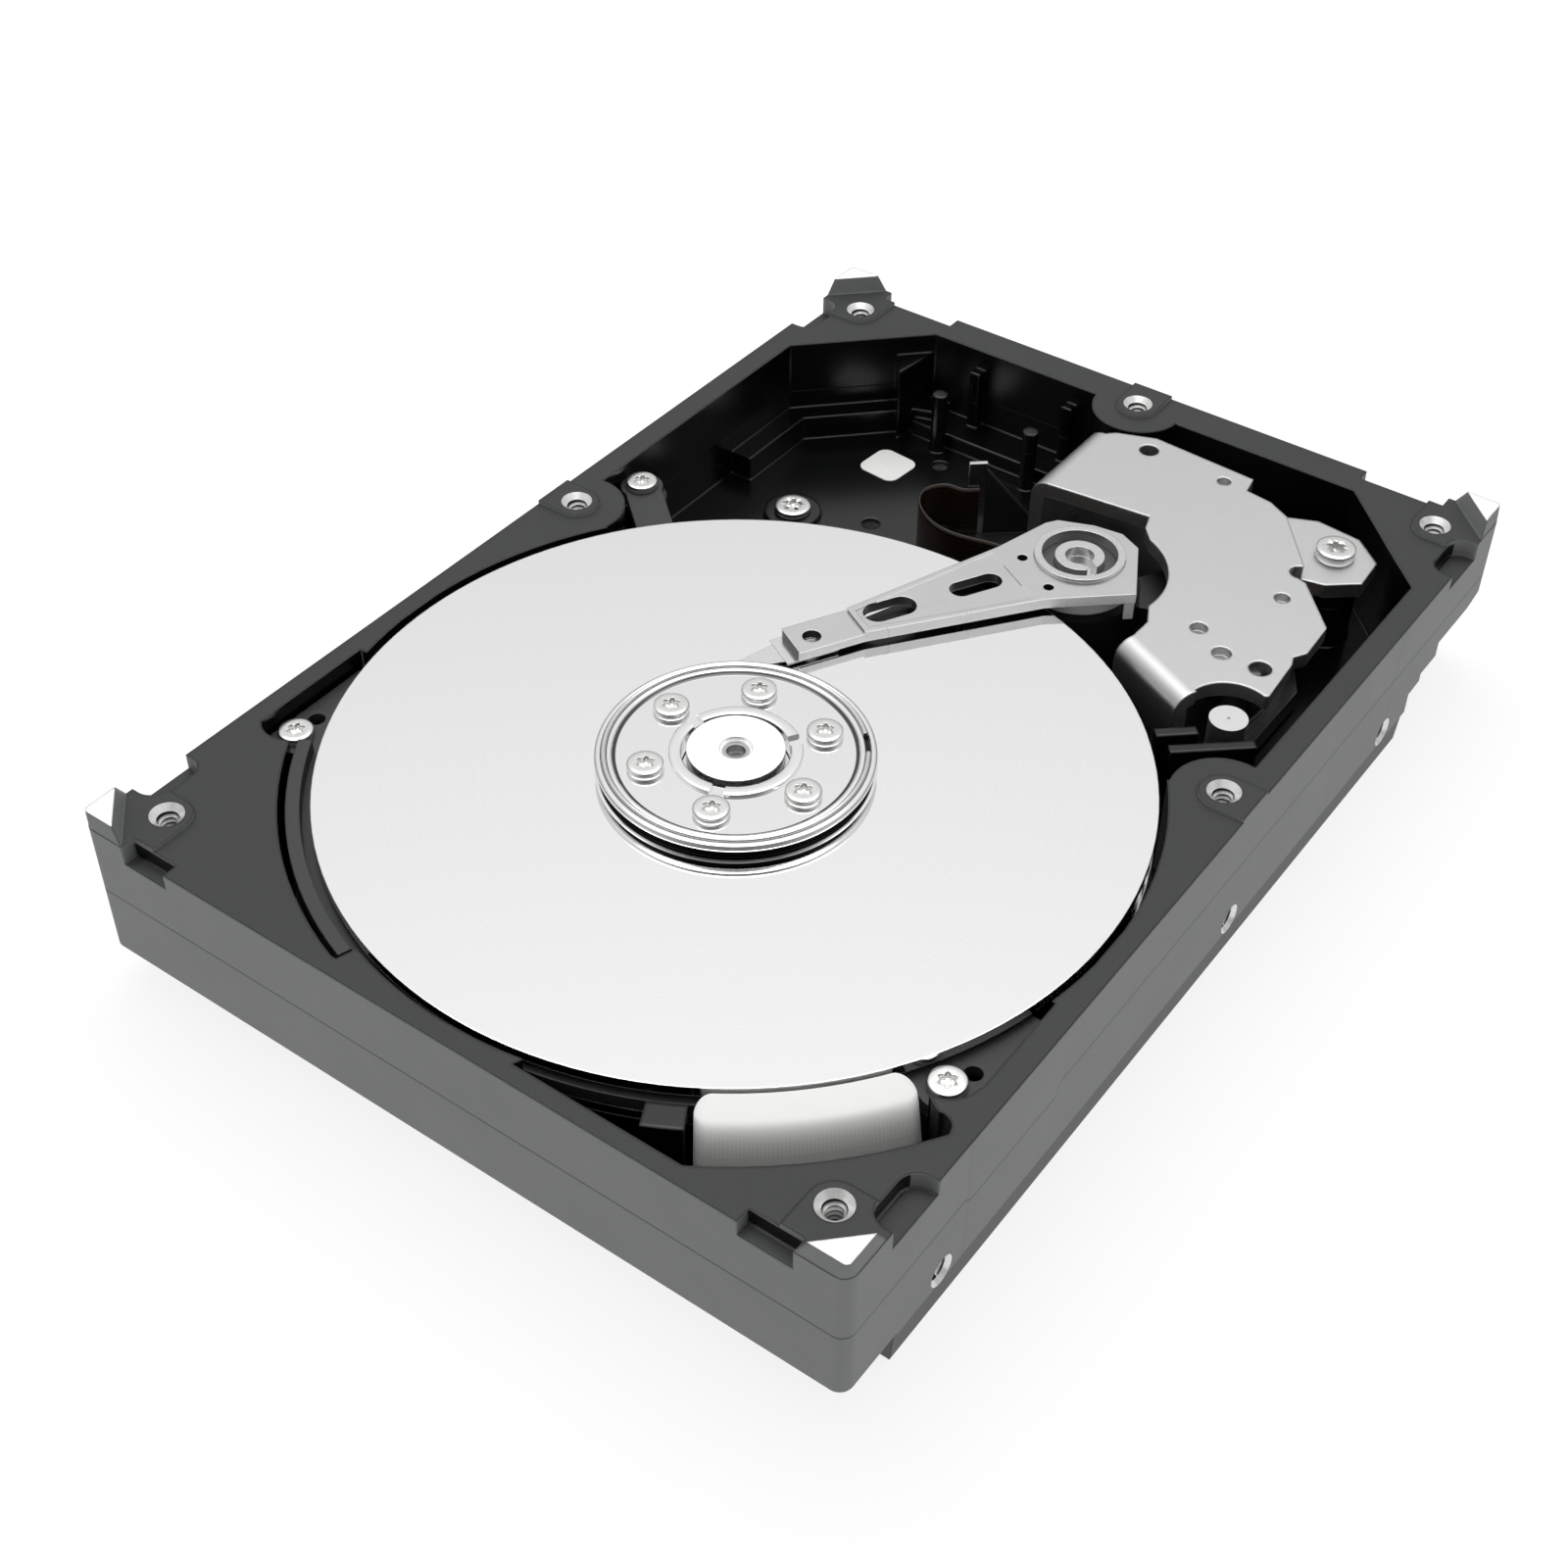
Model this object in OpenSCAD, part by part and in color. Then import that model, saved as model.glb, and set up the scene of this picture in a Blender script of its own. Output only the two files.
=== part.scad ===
// Three-and-a-half-inch hard disk drive with its cover off.
// Platter end towards -Y, connector end towards +Y, rails resting on z = 0.

/* [Housing] */
// Overall width across the two long sides
body_w = 101.6; // [100.8:0.1:106]
// Overall length from the platter end to the connector end
body_l = 147; // [146.2:0.1:152]
// Height of the corner posts above the plane the rails rest on
post_h = 25.2; // [24.9:0.1:27]
// Drop from the post tops to the rim
rim_drop = 2.7; // [2.3:0.1:3]
// Rise of the cover-screw pads above the rim
pad_rise = 0.5; // [0.2:0.1:1]
// Height of the side rails below the floor
rail_h = 5; // [4.8:0.1:5.3]
// Width of each side rail
rail_w = 6.3; // [5.8:0.1:7]
// Distance from the platter end to the front of the rails
rail_front = 9; // [6:0.5:14]
// Distance from the connector end to the back of the rails
rail_rear = 21.2; // [18:0.2:24]
// Height of the slanted lip along the foot of each rail
lip_h = 4.4; // [3.4:0.1:4.6]
// Inward slant of that lip
lip_in = 0.6; // [0.4:0.1:1.2]
// Thickness of the floor
floor_t = 3.5; // [3.3:0.1:3.7]
// Wall between the disk chamber and the platter end
front_wall = 2.37; // [1.8:0.01:3.2]
// Wall on each side of the rear bay
bay_side_wall = 3.2; // [2.6:0.1:3.6]
// Wall behind the rear bay
bay_rear_wall = 4.9; // [4:0.1:5.4]
// Leg of the slanted corners of the rear bay
bay_cut = 15; // [13:0.5:16]
// Radius of the outer upright corners
corner_r = 1.6; // [0.8:0.1:2]
// Leg of the three-cornered posts
post_leg = 4.5; // [4:0.1:5.4]
// Setback of the post tops from the outer faces
post_set = 0.35; // [0.2:0.05:1.2]
// Width of the slope on the inner side of a post
post_slope = 0.8; // [0.6:0.1:2]
// Depth of the notches in the rim
notch_depth = 2; // [1:0.1:3]

/* [Fixing holes] */
// Radius of the tapped side and base holes
tap_r = 1.4; // [1.3:0.05:1.6]
// Radius of the mouth of those holes
tap_mouth_r = 1.9; // [1.75:0.05:2.1]
// Height of the side holes
side_hole_z = 6.35; // [6.2:0.05:6.6]
// Depth of the side holes
side_hole_depth = 5; // [4:0.1:5.6]
// Distance from the connector end to the rear side holes
side_hole_rear = 28.5; // [27:0.1:30]
// Distance between the outer side holes
side_hole_pitch = 101.6; // [100:0.1:103]
// Distance from the connector end to the middle side holes
side_hole_mid = 69.5; // [66:0.1:74]
// Distance from the connector end to the rear base holes
base_hole_rear = 41.28; // [40:0.02:44]
// Distance between the base holes along a rail
base_hole_pitch = 44.45; // [42:0.05:47]
// Distance between the base holes across the drive
base_hole_span = 95.25; // [94.8:0.05:96]
// Depth of the base holes
base_hole_depth = 6; // [4:0.1:6.4]
// Radius of the cover-screw holes
cover_hole_r = 1.3; // [1:0.05:1.6]
// Radius of their mouths
cover_mouth_r = 2; // [1.7:0.05:2.3]
// Depth of the cover-screw holes
cover_hole_depth = 8; // [5:0.5:10]
// Radius of the pads round them
pad_r = 2.9; // [2.7:0.1:3.6]
// Inset of the corner cover-screw holes from the long sides
cover_in_x = 6.15; // [5.8:0.05:6.6]
// Inset of the corner cover-screw holes from the ends
cover_in_y = 6.6; // [6.2:0.05:7.2]
// Inset of the middle cover-screw holes from the long sides
mid_in_x = 4; // [3.6:0.1:4.2]
// Distance of the middle cover-screw holes behind the spindle
mid_behind = 28.13; // [27.5:0.01:29]
// Inset of the rear cover-screw hole from the connector end
rear_in_y = 4.4; // [4:0.1:5]
// Radius of the wall bulges round the middle and rear cover-screw holes
bulge_r = 6.2; // [5.6:0.1:6.4]

/* [Platters] */
// Radius of the platters
disk_r = 47.5; // [46.5:0.1:48]
// Radius of the hole in the platters
disk_bore_r = 12.5; // [12:0.1:12.8]
// Thickness of the platters
disk_t = 1.27; // [0.8:0.01:1.5]
// Spacing from one platter to the next
disk_pitch = 4.4; // [4.2:0.1:4.8]
// Drop from the rim to the upper platter
disk_drop = 0.3; // [0.1:0.05:0.5]
// Gap between the platters and the wall round them
bowl_gap = 1; // [0.7:0.05:1.4]

/* [Spindle motor] */
// Radius of the rotor skirt and of the seat under the lower platter
rotor_r = 15.5; // [15.2:0.05:15.8]
// Height of the rotor skirt
skirt_h = 5.4; // [5.2:0.1:5.8]
// Thickness of the rotor skirt
skirt_t = 1.1; // [0.8:0.05:1.3]
// Thickness of the rotor magnet
rotor_magnet_t = 1.4; // [1:0.05:1.6]
// Gap between the rotor magnet and the stator teeth
air_gap = 0.4; // [0.3:0.05:0.6]
// Gap between the rotor and the floor
rotor_gap = 0.5; // [0.4:0.05:0.7]
// Number of stator teeth
tooth_count = 9; // [6:3:12]
// Width of a stator tooth
tooth_w = 1.8; // [1.4:0.05:2]
// Thickness of the stator core
stator_t = 3.2; // [2.8:0.1:3.4]
// Height of the stator seat above the floor
stator_seat = 1.3; // [1.2:0.05:1.5]
// Thickness of the windings round a tooth
winding_t = 0.7; // [0.4:0.05:0.8]
// Outer radius of the bearing sleeve
sleeve_r = 6; // [5.5:0.1:6.3]
// Radius of the spindle shaft
shaft_r = 2.5; // [2:0.05:3]
// Radial clearance of the shaft in its sleeve
shaft_gap = 0.02; // [0.01:0.005:0.05]
// Thickness of the thrust plate under the shaft
thrust_t = 1; // [0.6:0.1:1.4]

/* [Disk clamp] */
// Outer radius of the disk clamp
clamp_r = 15.95; // [15.4:0.05:16.1]
// Thickness of the clamp's flat web
clamp_t = 2; // [1.7:0.05:2.1]
// Rise of the clamp's bead and collar above the web
bead_rise = 0.4; // [0.2:0.05:0.6]
// Width of the bead
bead_w = 2.15; // [1.8:0.05:2.4]
// Depth of the groove round the clamp under its bead
neck_depth = 0.65; // [0.4:0.05:0.8]
// Radius of the hole in the middle of the clamp
clamp_bore_r = 6.2; // [6:0.05:6.4]
// Width of the collar round that hole
collar_w = 1.4; // [1:0.05:1.6]
// Number of clamp screws
clamp_screw_count = 6; // [3:1:6]
// Radius of the circle that the clamp screws stand on
clamp_screw_ring = 10.45; // [10.2:0.05:10.6]
// Angle of the first clamp screw
clamp_screw_turn = -8; // [-30:1:30]
// Radius of the boss in the middle of the hub
hub_boss_r = 5.6; // [5:0.05:5.8]
// Rise of that boss above the upper platter
hub_boss_rise = 2.65; // [2.3:0.05:2.9]
// Thickness of the balance wire
wire_t = 0.6; // [0.4:0.05:0.7]

/* [Actuator] */
// Distance from the spindle to the pivot
pivot_dist = 56.46; // [56.2:0.02:56.8]
// Direction of the pivot seen from the spindle
pivot_dir = 77.52; // [77:0.02:78]
// Distance from the pivot to the heads
head_reach = 46; // [45.2:0.1:46.8]
// Radius of the innermost track, where the heads stand at rest
inner_track_r = 17.8; // [17.6:0.1:19]
// Radius of the outermost track
outer_track_r = 43.7; // [42:0.1:44]
// Thickness of an arm
arm_t = 1.4; // [1.2:0.05:1.5]
// Gap between the outer arms and the platters
arm_gap = 0.6; // [0.5:0.05:0.8]
// Half width of an arm at its tip
arm_tip_half = 2.6; // [2.2:0.05:2.8]
// Distance from the pivot to the end of the arms
arm_reach = 39.9; // [39.4:0.1:40.4]
// Radius of the barrel of the arm block
barrel_r = 8; // [7.6:0.05:8.2]
// Height of the barrel below the lowest arm
barrel_foot = 1.4; // [1:0.1:1.6]
// Outer radius of the pivot sleeve
pivot_sleeve_r = 5.7; // [5.5:0.05:5.8]
// Wall of the pivot sleeve
pivot_sleeve_wall = 0.95; // [0.8:0.05:1.1]
// Rise of the pivot sleeve above the arm block
pivot_sleeve_rise = 0.5; // [0.2:0.05:0.8]
// Radius of the pivot shaft
pivot_shaft_r = 3.1; // [2.9:0.05:3.3]
// Radial clearance of the pivot bearings
pivot_gap = 0.03; // [0.02:0.005:0.06]
// Height of the pivot bearings
bearing_h = 2.5; // [2:0.1:2.8]
// Height of the pivot seat above the floor
pivot_seat = 3; // [2.7:0.1:3.3]
// Flying height drawn between the sliders and the platters
fly_gap = 0.05; // [0.03:0.01:0.08]
// Thickness of a slider
slider_t = 0.3; // [0.2:0.02:0.35]
// Thickness of a load beam
beam_t = 0.1; // [0.06:0.01:0.12]

/* [Voice coil motor] */
// Rise of the yoke's top above the upper platter
yoke_rise = 0.4; // [0.3:0.05:0.8]
// Thickness of the top yoke plate
yoke_t = 2; // [1.8:0.05:2.2]
// Thickness of the bottom yoke plate
yoke_low_t = 2.5; // [2.2:0.05:2.7]
// Thickness of each magnet
magnet_t = 2.2; // [2:0.05:2.3]
// Thickness of the coil
coil_t = 3.7; // [3.5:0.05:3.8]
// Gap between the coil and each magnet
coil_gap = 0.5; // [0.4:0.05:0.55]
// Outer radius of the bends in the top yoke plate
bend_r = 2.5; // [2.3:0.05:3]
// Inner radius of the coil about the pivot
coil_in_r = 13.7; // [13.4:0.1:14.2]
// Outer radius of the coil about the pivot
coil_out_r = 28.5; // [28:0.1:28.8]
// Half of the angle that the coil spans
coil_half = 17.3; // [16:0.1:18]
// Width of the coil's winding
coil_w = 2.9; // [2.4:0.1:3.2]
// Wall of the moulded fork round the coil
fork_wall = 1.2; // [0.8:0.05:1.4]
// Angle from the arms round to the coil
coil_turn = 160.8; // [160:0.1:161.5]
// Radius of the crash stops
stop_r = 1.5; // [1.2:0.05:1.6]
// Radius of the locating pin beside the yoke
pin_r = 2.3; // [2:0.05:2.5]

/* [Air path] */
// Thickness of the disk damper
damper_t = 1.5; // [1.2:0.05:1.7]
// Inner radius of the disk damper
damper_in_r = 27; // [25:0.5:32]
// Radius of the damper's lugs
lug_r = 2.8; // [2.5:0.05:3]
// Thickness of the filter pad
filter_t = 5; // [4.4:0.1:5.6]
// Angle where the filter pad starts, seen from the spindle
filter_from = -58; // [-59:0.5:-56]
// Angle that the filter pad spans
filter_span = 25.5; // [22:0.5:26]

/* [Screws] */
// Head radius of the screws inside the chamber
screw_head_r = 2.1; // [1.9:0.05:2.2]
// Head height of the screws inside the chamber
screw_head_h = 0.95; // [0.7:0.05:1.2]
// Shank radius of the screws
screw_r = 0.95; // [0.8:0.05:1]
// Length of a screw shank
screw_len = 4.5; // [4:0.1:5]
// Gap between a screw shank and its hole
screw_gap = 0.05; // [0.03:0.01:0.1]
// Head radius of the yoke and floor screws
big_head_r = 2.55; // [2.3:0.05:2.7]

/* [Flex circuit] */
// Height of the ribbon
ribbon_h = 7.5; // [6:0.1:8]
// Thickness of the ribbon
ribbon_t = 0.3; // [0.2:0.05:0.4]
// Gap between the ribbon and the floor
ribbon_lift = 1; // [0.6:0.1:1.4]
// Height of the upright stiffener blade above the floor
blade_h = 12.2; // [10:0.1:13]
// Thickness of the amplifier board on the arm block
amp_t = 0.6; // [0.4:0.05:0.8]

/* [Electronics] */
// Thickness of the circuit board
board_t = 1.2; // [1:0.05:1.4]
// Gap between the circuit board and the floor above it
board_gap = 1.6; // [1.4:0.05:1.8]
// Gap between the circuit board and the rails
board_side_gap = 1; // [0.5:0.1:1.5]
// Distance from the connector end to the front edge of the board
board_from = 108; // [100:1:118]
// Thickness of the insulating sheet
sheet_t = 0.5; // [0.3:0.05:0.7]
// Width of the data and power connector
plug_w = 42.6; // [42:0.1:43]
// Height of the data and power connector
plug_h = 6.2; // [6:0.1:6.3]
// Depth of the data and power connector
plug_d = 9; // [8:0.1:9.4]
// Offset of the connector's middle from the drive's middle
plug_x = -11; // [-13:0.5:-9]
// Thickness of the tongues in the connector
tongue_t = 1.2; // [1:0.05:1.3]

/* [Hidden] */
$fn = 72;

// Overlap of tool bodies past the faces that they cut
cut = 1;
// Radial gap of pieces that are fixed in one another
fit = 0.02;

// Heights
floor_top = rail_h + floor_t;
rim_top = post_h - rim_drop;
pad_top = rim_top + pad_rise;
disk_top = rim_top - disk_drop;
disk_bottom = disk_top - disk_t;
low_top = disk_top - disk_pitch;
low_bottom = low_top - disk_t;
rotor_bottom = floor_top + rotor_gap;
motor_top = rotor_bottom + skirt_h;
hub_top = disk_top - 0.2;
web_top = disk_top + clamp_t;
bead_top = web_top + bead_rise;
arm_top_z = disk_top + arm_gap;
arm_mid_z = (disk_bottom + low_top - arm_t) / 2;
arm_low_z = low_bottom - arm_gap - arm_t;
block_top = arm_top_z + arm_t;
barrel_bottom = arm_low_z - barrel_foot;
yoke_top = disk_top + yoke_rise;
yoke_under = yoke_top - yoke_t;
coil_top = yoke_under - magnet_t - coil_gap;
coil_bottom = coil_top - coil_t;
low_magnet_top = coil_bottom - coil_gap;
yoke_low_top = low_magnet_top - magnet_t;
yoke_low = yoke_low_top - yoke_low_t;
damper_z = (disk_bottom + low_top - damper_t) / 2;
damper_top = damper_z + damper_t;
board_top = rail_h - board_gap;
board_bottom = board_top - board_t;

// Plan positions
bowl_r = disk_r + bowl_gap;
spindle = [0, -body_l / 2 + front_wall + bowl_r];
pivot = spindle + pivot_dist * [cos(pivot_dir), sin(pivot_dir)];
bay_x = body_w / 2 - bay_side_wall;
bay_y = body_l / 2 - bay_rear_wall;
mid_hole = [body_w / 2 - mid_in_x, spindle[1] + mid_behind];
rear_hole = [0, body_l / 2 - rear_in_y];
corner_hole = [body_w / 2 - cover_in_x, body_l / 2 - cover_in_y];

// Swing of the actuator, by the triangle of spindle, pivot and head
function track_angle(r) =
    acos((pow(pivot_dist, 2) + pow(head_reach, 2) - pow(r, 2)) / (2 * pivot_dist * head_reach));
arm_rest = pivot_dir + 180 - track_angle(inner_track_r);
swing = track_angle(outer_track_r) - track_angle(inner_track_r);
coil_rest = arm_rest + coil_turn - 360;
fork_half = coil_half + 3.2;
fork_out_r = coil_out_r + fork_wall;
magnet_from = coil_rest - swing - coil_half - 1;
magnet_to = coil_rest + coil_half + 1;

// Damper lugs round the spindle
lug_angles = [-152, -28.5, 139];
lug_offsets = [3, 1.6, 11];
lugs = [for (i = [0:2]) polar(bowl_r + lug_offsets[i], lug_angles[i])];
lug_boss_r = lug_r + 0.5;
lug_pocket_r = lug_r + 0.9;
lug_pocket_run = 14;
lug_gap = 0.5;
// Empty screw holes beside the two front lugs
spare_holes = [polar(bowl_r + 1.6, -155.5), polar(bowl_r + 1.4, -24.9)];
spare_lug_r = 1.8;
floor_screw_at = [-bay_x + 13.2, spindle[1] + 58.8];
floor_screw_z = floor_top + 1;
floor_screw_len = 3;
// Room past the tip of a screw, and depth that pins are sunk into the floor
tip_gap = 0.3;
root_depth = 1;

// Ribbon route round its loop, from the bracket to the amplifier board, seen from the pivot
ribbon_route = [
    [-24.75, 12.75], [-27.4, 12.2], [-29, 9.6], [-27.7, 6.4], [-24.2, 4], [-20.2, 3.5], [-15, 4.6], [-10, 5.4]
];
ribbon_steps = 5;
bracket_at = pivot + [-24.6, 13.6];

// Amplifier board on the flat of the arm block
amp_flat = 7.2;
amp_half = 3.3;

function polar(r, a) = r * [cos(a), sin(a)];
function turned(p, a) = [p[0] * cos(a) - p[1] * sin(a), p[0] * sin(a) + p[1] * cos(a)];

module at(p) {
    translate([p[0], p[1], 0]) children();
}

module slab(z0, z1) {
    translate([0, 0, z0]) linear_extrude(z1 - z0) children();
}

// Upright round bar at p, from z0 up to z1
module peg(p, z0, z1, r) {
    translate([p[0], p[1], z0]) cylinder(r = r, h = z1 - z0);
}

module both_sides() {
    children();
    mirror([1, 0, 0]) children();
}

module four_corners() {
    both_sides() {
        children();
        mirror([0, 1, 0]) children();
    }
}

module pie(r, from, to) {
    reach = 3 * r;
    span = to - from;
    intersection() {
        circle(r);
        polygon(concat([[0, 0]], [for (i = [0:6]) polar(reach, from + span * i / 6)]));
    }
}

module ring_sector(r0, r1, from, to) {
    difference() {
        pie(r1, from, to);
        circle(r0);
    }
}

module round_rect(w, l, r) {
    square([w - 2 * r, l], center = true);
    square([w, l - 2 * r], center = true);
    for (x = [-1, 1], y = [-1, 1])
        translate([x * (w / 2 - r), y * (l / 2 - r)]) circle(r);
}

module stadium(l, w) {
    square([l - w, w], center = true);
    for (x = [-1, 1]) translate([x * (l - w) / 2, 0]) circle(w / 2);
}

module bar_between(a, b, w) {
    d = b - a;
    translate(a) rotate(atan2(d[1], d[0])) translate([0, -w / 2]) square([norm(d), w]);
}

module screw(head_r, head_h, shank_r, shank_len) {
    socket_r = head_r * 0.45;
    socket_depth = head_h * 0.7;
    difference() {
        union() {
            cylinder(r = head_r, h = head_h);
            translate([0, 0, -shank_len]) cylinder(r = shank_r, h = shank_len + head_h / 2);
        }
        translate([0, 0, head_h - socket_depth]) linear_extrude(socket_depth + cut) {
            circle(socket_r, $fn = 6);
            rotate(30) circle(socket_r, $fn = 6);
        }
    }
}

module tapped_hole(r, mouth_r, depth) {
    sink = mouth_r - r;
    translate([0, 0, -depth]) cylinder(r = r, h = depth + cut);
    translate([0, 0, -sink]) cylinder(r1 = r, r2 = mouth_r, h = sink);
    cylinder(r = mouth_r, h = cut);
}

// Housing

module outer_plan() {
    round_rect(body_w, body_l, corner_r);
}

module bay_plan() {
    front = mid_hole[1] - 1.5;
    difference() {
        polygon([
            [-bay_x, front], [-bay_x, bay_y - bay_cut], [-bay_x + bay_cut, bay_y],
            [bay_x - bay_cut, bay_y], [bay_x, bay_y - bay_cut], [bay_x, front]
        ]);
        both_sides() translate(mid_hole) circle(bulge_r);
        translate(rear_hole) circle(bulge_r);
    }
}

pocket_r = bowl_r + 2.6;
filter_lean = 1.9;
filter_mid_r = bowl_r + 1.4 + filter_t / 2;
filter_pocket_r = filter_mid_r + filter_t / 2 + filter_lean + 0.5;
filter_to = filter_from + filter_span;
filter_room = 1.6;
filter_end_room = 0.5;

module pockets_plan() {
    filter_notch_r = 1.7;
    straight_y = -front_wall - bowl_r;
    straight_from = 8;
    translate(spindle) {
        ring_sector(bowl_r - cut, pocket_r, -149.5, -107);
        ring_sector(bowl_r - cut, filter_pocket_r, filter_from - filter_room, filter_to + filter_end_room);
        translate(polar(filter_pocket_r - filter_notch_r, filter_to - 0.6)) circle(filter_notch_r);
        polygon([
            [straight_from, straight_y], polar(filter_pocket_r, filter_from),
            polar(bowl_r - cut, filter_from), polar(bowl_r - cut, filter_from - 20)
        ]);
        for (i = [0, 1]) front_lug(lugs[i], lug_pocket_r, lug_pocket_run);
    }
}

// Plan of a front damper lug, which runs on along the side wall
module front_lug(lug, r, run) {
    reach = min(abs(lug[0]) + r + 0.2, body_w / 2 - cavity_side_wall - lug_pocket_r + r);
    wall = sign(lug[0]) * reach;
    inner = 0.9 * lug[0];
    intersection() {
        union() {
            translate(lug) circle(r);
            bar_between(lug, 0.8 * lug, 2 * r - 0.5);
            polygon([lug, [wall, lug[1]], [wall, lug[1] + run], [inner, lug[1] + run]]);
        }
        square([2 * reach, body_l], center = true);
    }
}

module cavity_plan() {
    intersection() {
        union() {
            bay_plan();
            translate(spindle) circle(bowl_r);
            pockets_plan();
        }
        square([body_w - 2 * cavity_side_wall, body_l - 2 * cavity_end_wall], center = true);
    }
}
cavity_side_wall = 2.4;
cavity_end_wall = 2.2;

module rail() {
    x1 = body_w / 2;
    x0 = x1 - rail_w;
    length = body_l - rail_front - rail_rear;
    translate([0, body_l / 2 - rail_rear, 0]) rotate([90, 0, 0]) linear_extrude(length)
        polygon([
            [x0, 0], [x1 - lip_in, 0], [x1 - 0.3, lip_h], [x1, lip_h + 0.3],
            [x1, rail_h + cut], [x0, rail_h + cut]
        ]);
}

module corner_post() {
    foot_set = 0.04;
    side = body_w / 2;
    end = body_l / 2;
    reach = post_leg / sqrt(2);
    foot = rim_top - cut;
    foot_reach = reach + post_slope * (post_h - foot) / (post_h - pad_top);
    intersection() {
        slab(foot, post_h) round_rect(body_w - 2 * foot_set, body_l - 2 * foot_set, corner_r);
        rotate([90, 0, 0]) linear_extrude(2 * body_l, center = true) post_lean(side);
        rotate([90, 0, 90]) linear_extrude(2 * body_w, center = true) post_lean(end);
        translate([side - post_set, end - post_set, 0]) rotate(45) rotate([90, 0, 0])
            linear_extrude(4 * post_leg, center = true)
                polygon([[-reach, post_h], [-foot_reach, foot], [2 * reach, foot], [2 * reach, post_h]]);
    }
}

// Upright section of a post that leans in from an outer face at the given distance
module post_lean(face) {
    polygon([[0, 0], [face, 0], [face, rim_top], [face - post_set, post_h], [0, post_h]]);
}

module pads_plan() {
    four_corners() {
        translate(corner_hole) circle(pad_r);
        intersection() {
            union() {
                translate(corner_hole - [pad_r, 0]) square(body_w);
                translate(corner_hole - [0, pad_r]) square(body_w);
            }
            outer_plan();
        }
    }
    both_sides() {
        translate(mid_hole) circle(pad_r);
        translate(mid_hole - [0, pad_r]) square([mid_in_x, 2 * pad_r]);
    }
    translate(rear_hole) circle(pad_r);
    translate(rear_hole - [pad_r, 0]) square([2 * pad_r, rear_in_y]);
}

module rim_notches() {
    side_notch = [3.2, 7.8];
    notch_r = 2.2;
    end_notch = [6.4, 1.9];
    rear_notch = [11.5, 2];
    slab(rim_top - notch_depth, post_h + cut) {
        four_corners() translate([body_w / 2, corner_hole[1] - 0.6 - side_notch[1] / 2])
            round_rect(2 * side_notch[0], side_notch[1], notch_r);
        both_sides() {
            translate([corner_hole[0] - end_notch[0], -body_l / 2 - cut]) square(end_notch + [0, cut]);
            translate([corner_hole[0] - rear_notch[0] - 1, body_l / 2 - rear_notch[1]])
                square(rear_notch + [0, cut]);
        }
    }
}

// Columns, ledges and ribs that stand on the floor
module floor_features() {
    ledge_w = 3.3;
    ledge_top = floor_top + 3.5;
    rear_ledge_w = 5.5;
    rear_ledge_top = floor_top + 2.2;
    rib_top = rim_top - 3;
    rib_w = 1.3;
    side_rib_top = rim_top - 1.5;
    cut_corner = [-bay_x + bay_cut, bay_y];
    slab(rail_h, ledge_top) polygon([
        [-bay_x - cut, bay_y - 29], [-bay_x - cut, bay_y - bay_cut], cut_corner + [-cut, cut],
        cut_corner + [3, cut], cut_corner + [3, -ledge_w], cut_corner + [0, -ledge_w - 1],
        [-bay_x + ledge_w, bay_y - bay_cut - 1], [-bay_x + ledge_w, bay_y - 29]
    ]);
    slab(rail_h, rear_ledge_top) translate([cut_corner[0], bay_y - rear_ledge_w])
        square([-cut_corner[0] - bulge_r, rear_ledge_w + cut]);
    slab(rail_h, rib_top) {
        translate(cut_corner) polygon([[0, cut], [-4, cut - 4], [-3.9, -4], [-1, -7.7]]);
        for (x = [7, 22]) translate(cut_corner + [x, -1.6]) square([1.6, 1.6 + cut]);
    }
    for (p = [[5.3, -6.6], [20.6, -7.1]]) peg(cut_corner + p, rail_h, rib_top - 1.7, 1.1);
    slab(rail_h, side_rib_top) {
        bar_between(mid_hole + [-12, 6.4], mid_hole + [-8.3, 9.7], rib_w);
        bar_between(mid_hole + [-9.3, 4.8], mid_hole + [-1.7, 11.5], rib_w);
    }
    peg(floor_screw_at, rail_h, floor_screw_z, big_head_r + 1.4);
    peg(pivot, rail_h, floor_top + pivot_seat, pivot_sleeve_r);
    peg(spindle, rail_h, floor_top + stator_seat, sleeve_r + 1.4);
    at(spindle) slab(rail_h, damper_z) difference() {
        for (lug = lugs) translate(lug) circle(lug_boss_r);
        circle(bowl_r);
    }
    for (p = yoke_feet) peg(pivot + p, rail_h, yoke_low, 2.5);
    peg(pivot + ear_screw_at, rail_h, ear_bottom, ear_boss_r);
    peg(pivot + pin_at, rail_h, floor_top + 2, pin_r + 0.6);
    at(spindle) slab(rail_h, rim_top - 1.2)
        ring_sector(bowl_r + 0.5, bowl_r + 3.6, filter_from - 5.5, filter_from - 0.6);
}

board_boss_r = 2.5;

module underside_cuts() {
    plug_space = 0.6;
    corner_rise = 7.6;
    plug_depth = plug_d + 3;
    translate([plug_x - plug_w / 2 - plug_space, body_l / 2 - plug_depth, -cut])
        cube([plug_w + 2 * plug_space, plug_depth + cut, plug_z + plug_h + 0.2 + cut]);
    both_sides() translate([body_w / 2 - 2.6, body_l / 2 - rail_rear, rail_h]) rotate([90, 0, 90])
        linear_extrude(2.6 + cut) polygon([
            [0, -rail_h - cut], [0, 2.6], [3.1, 2.8], [3.1, 4], [7.6, 4], [7.6, 6.2], [16.5, 6.2],
            [rail_rear + cut, corner_rise], [rail_rear + cut, -rail_h - cut]
        ]);
    at(bracket_at + connector_shift) translate([0, 0, rail_h - cut]) linear_extrude(floor_t + 2 * cut)
        round_rect(connector_size[0] + 2 * fit, connector_size[1] + 2 * fit, 0.6);
}

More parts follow.
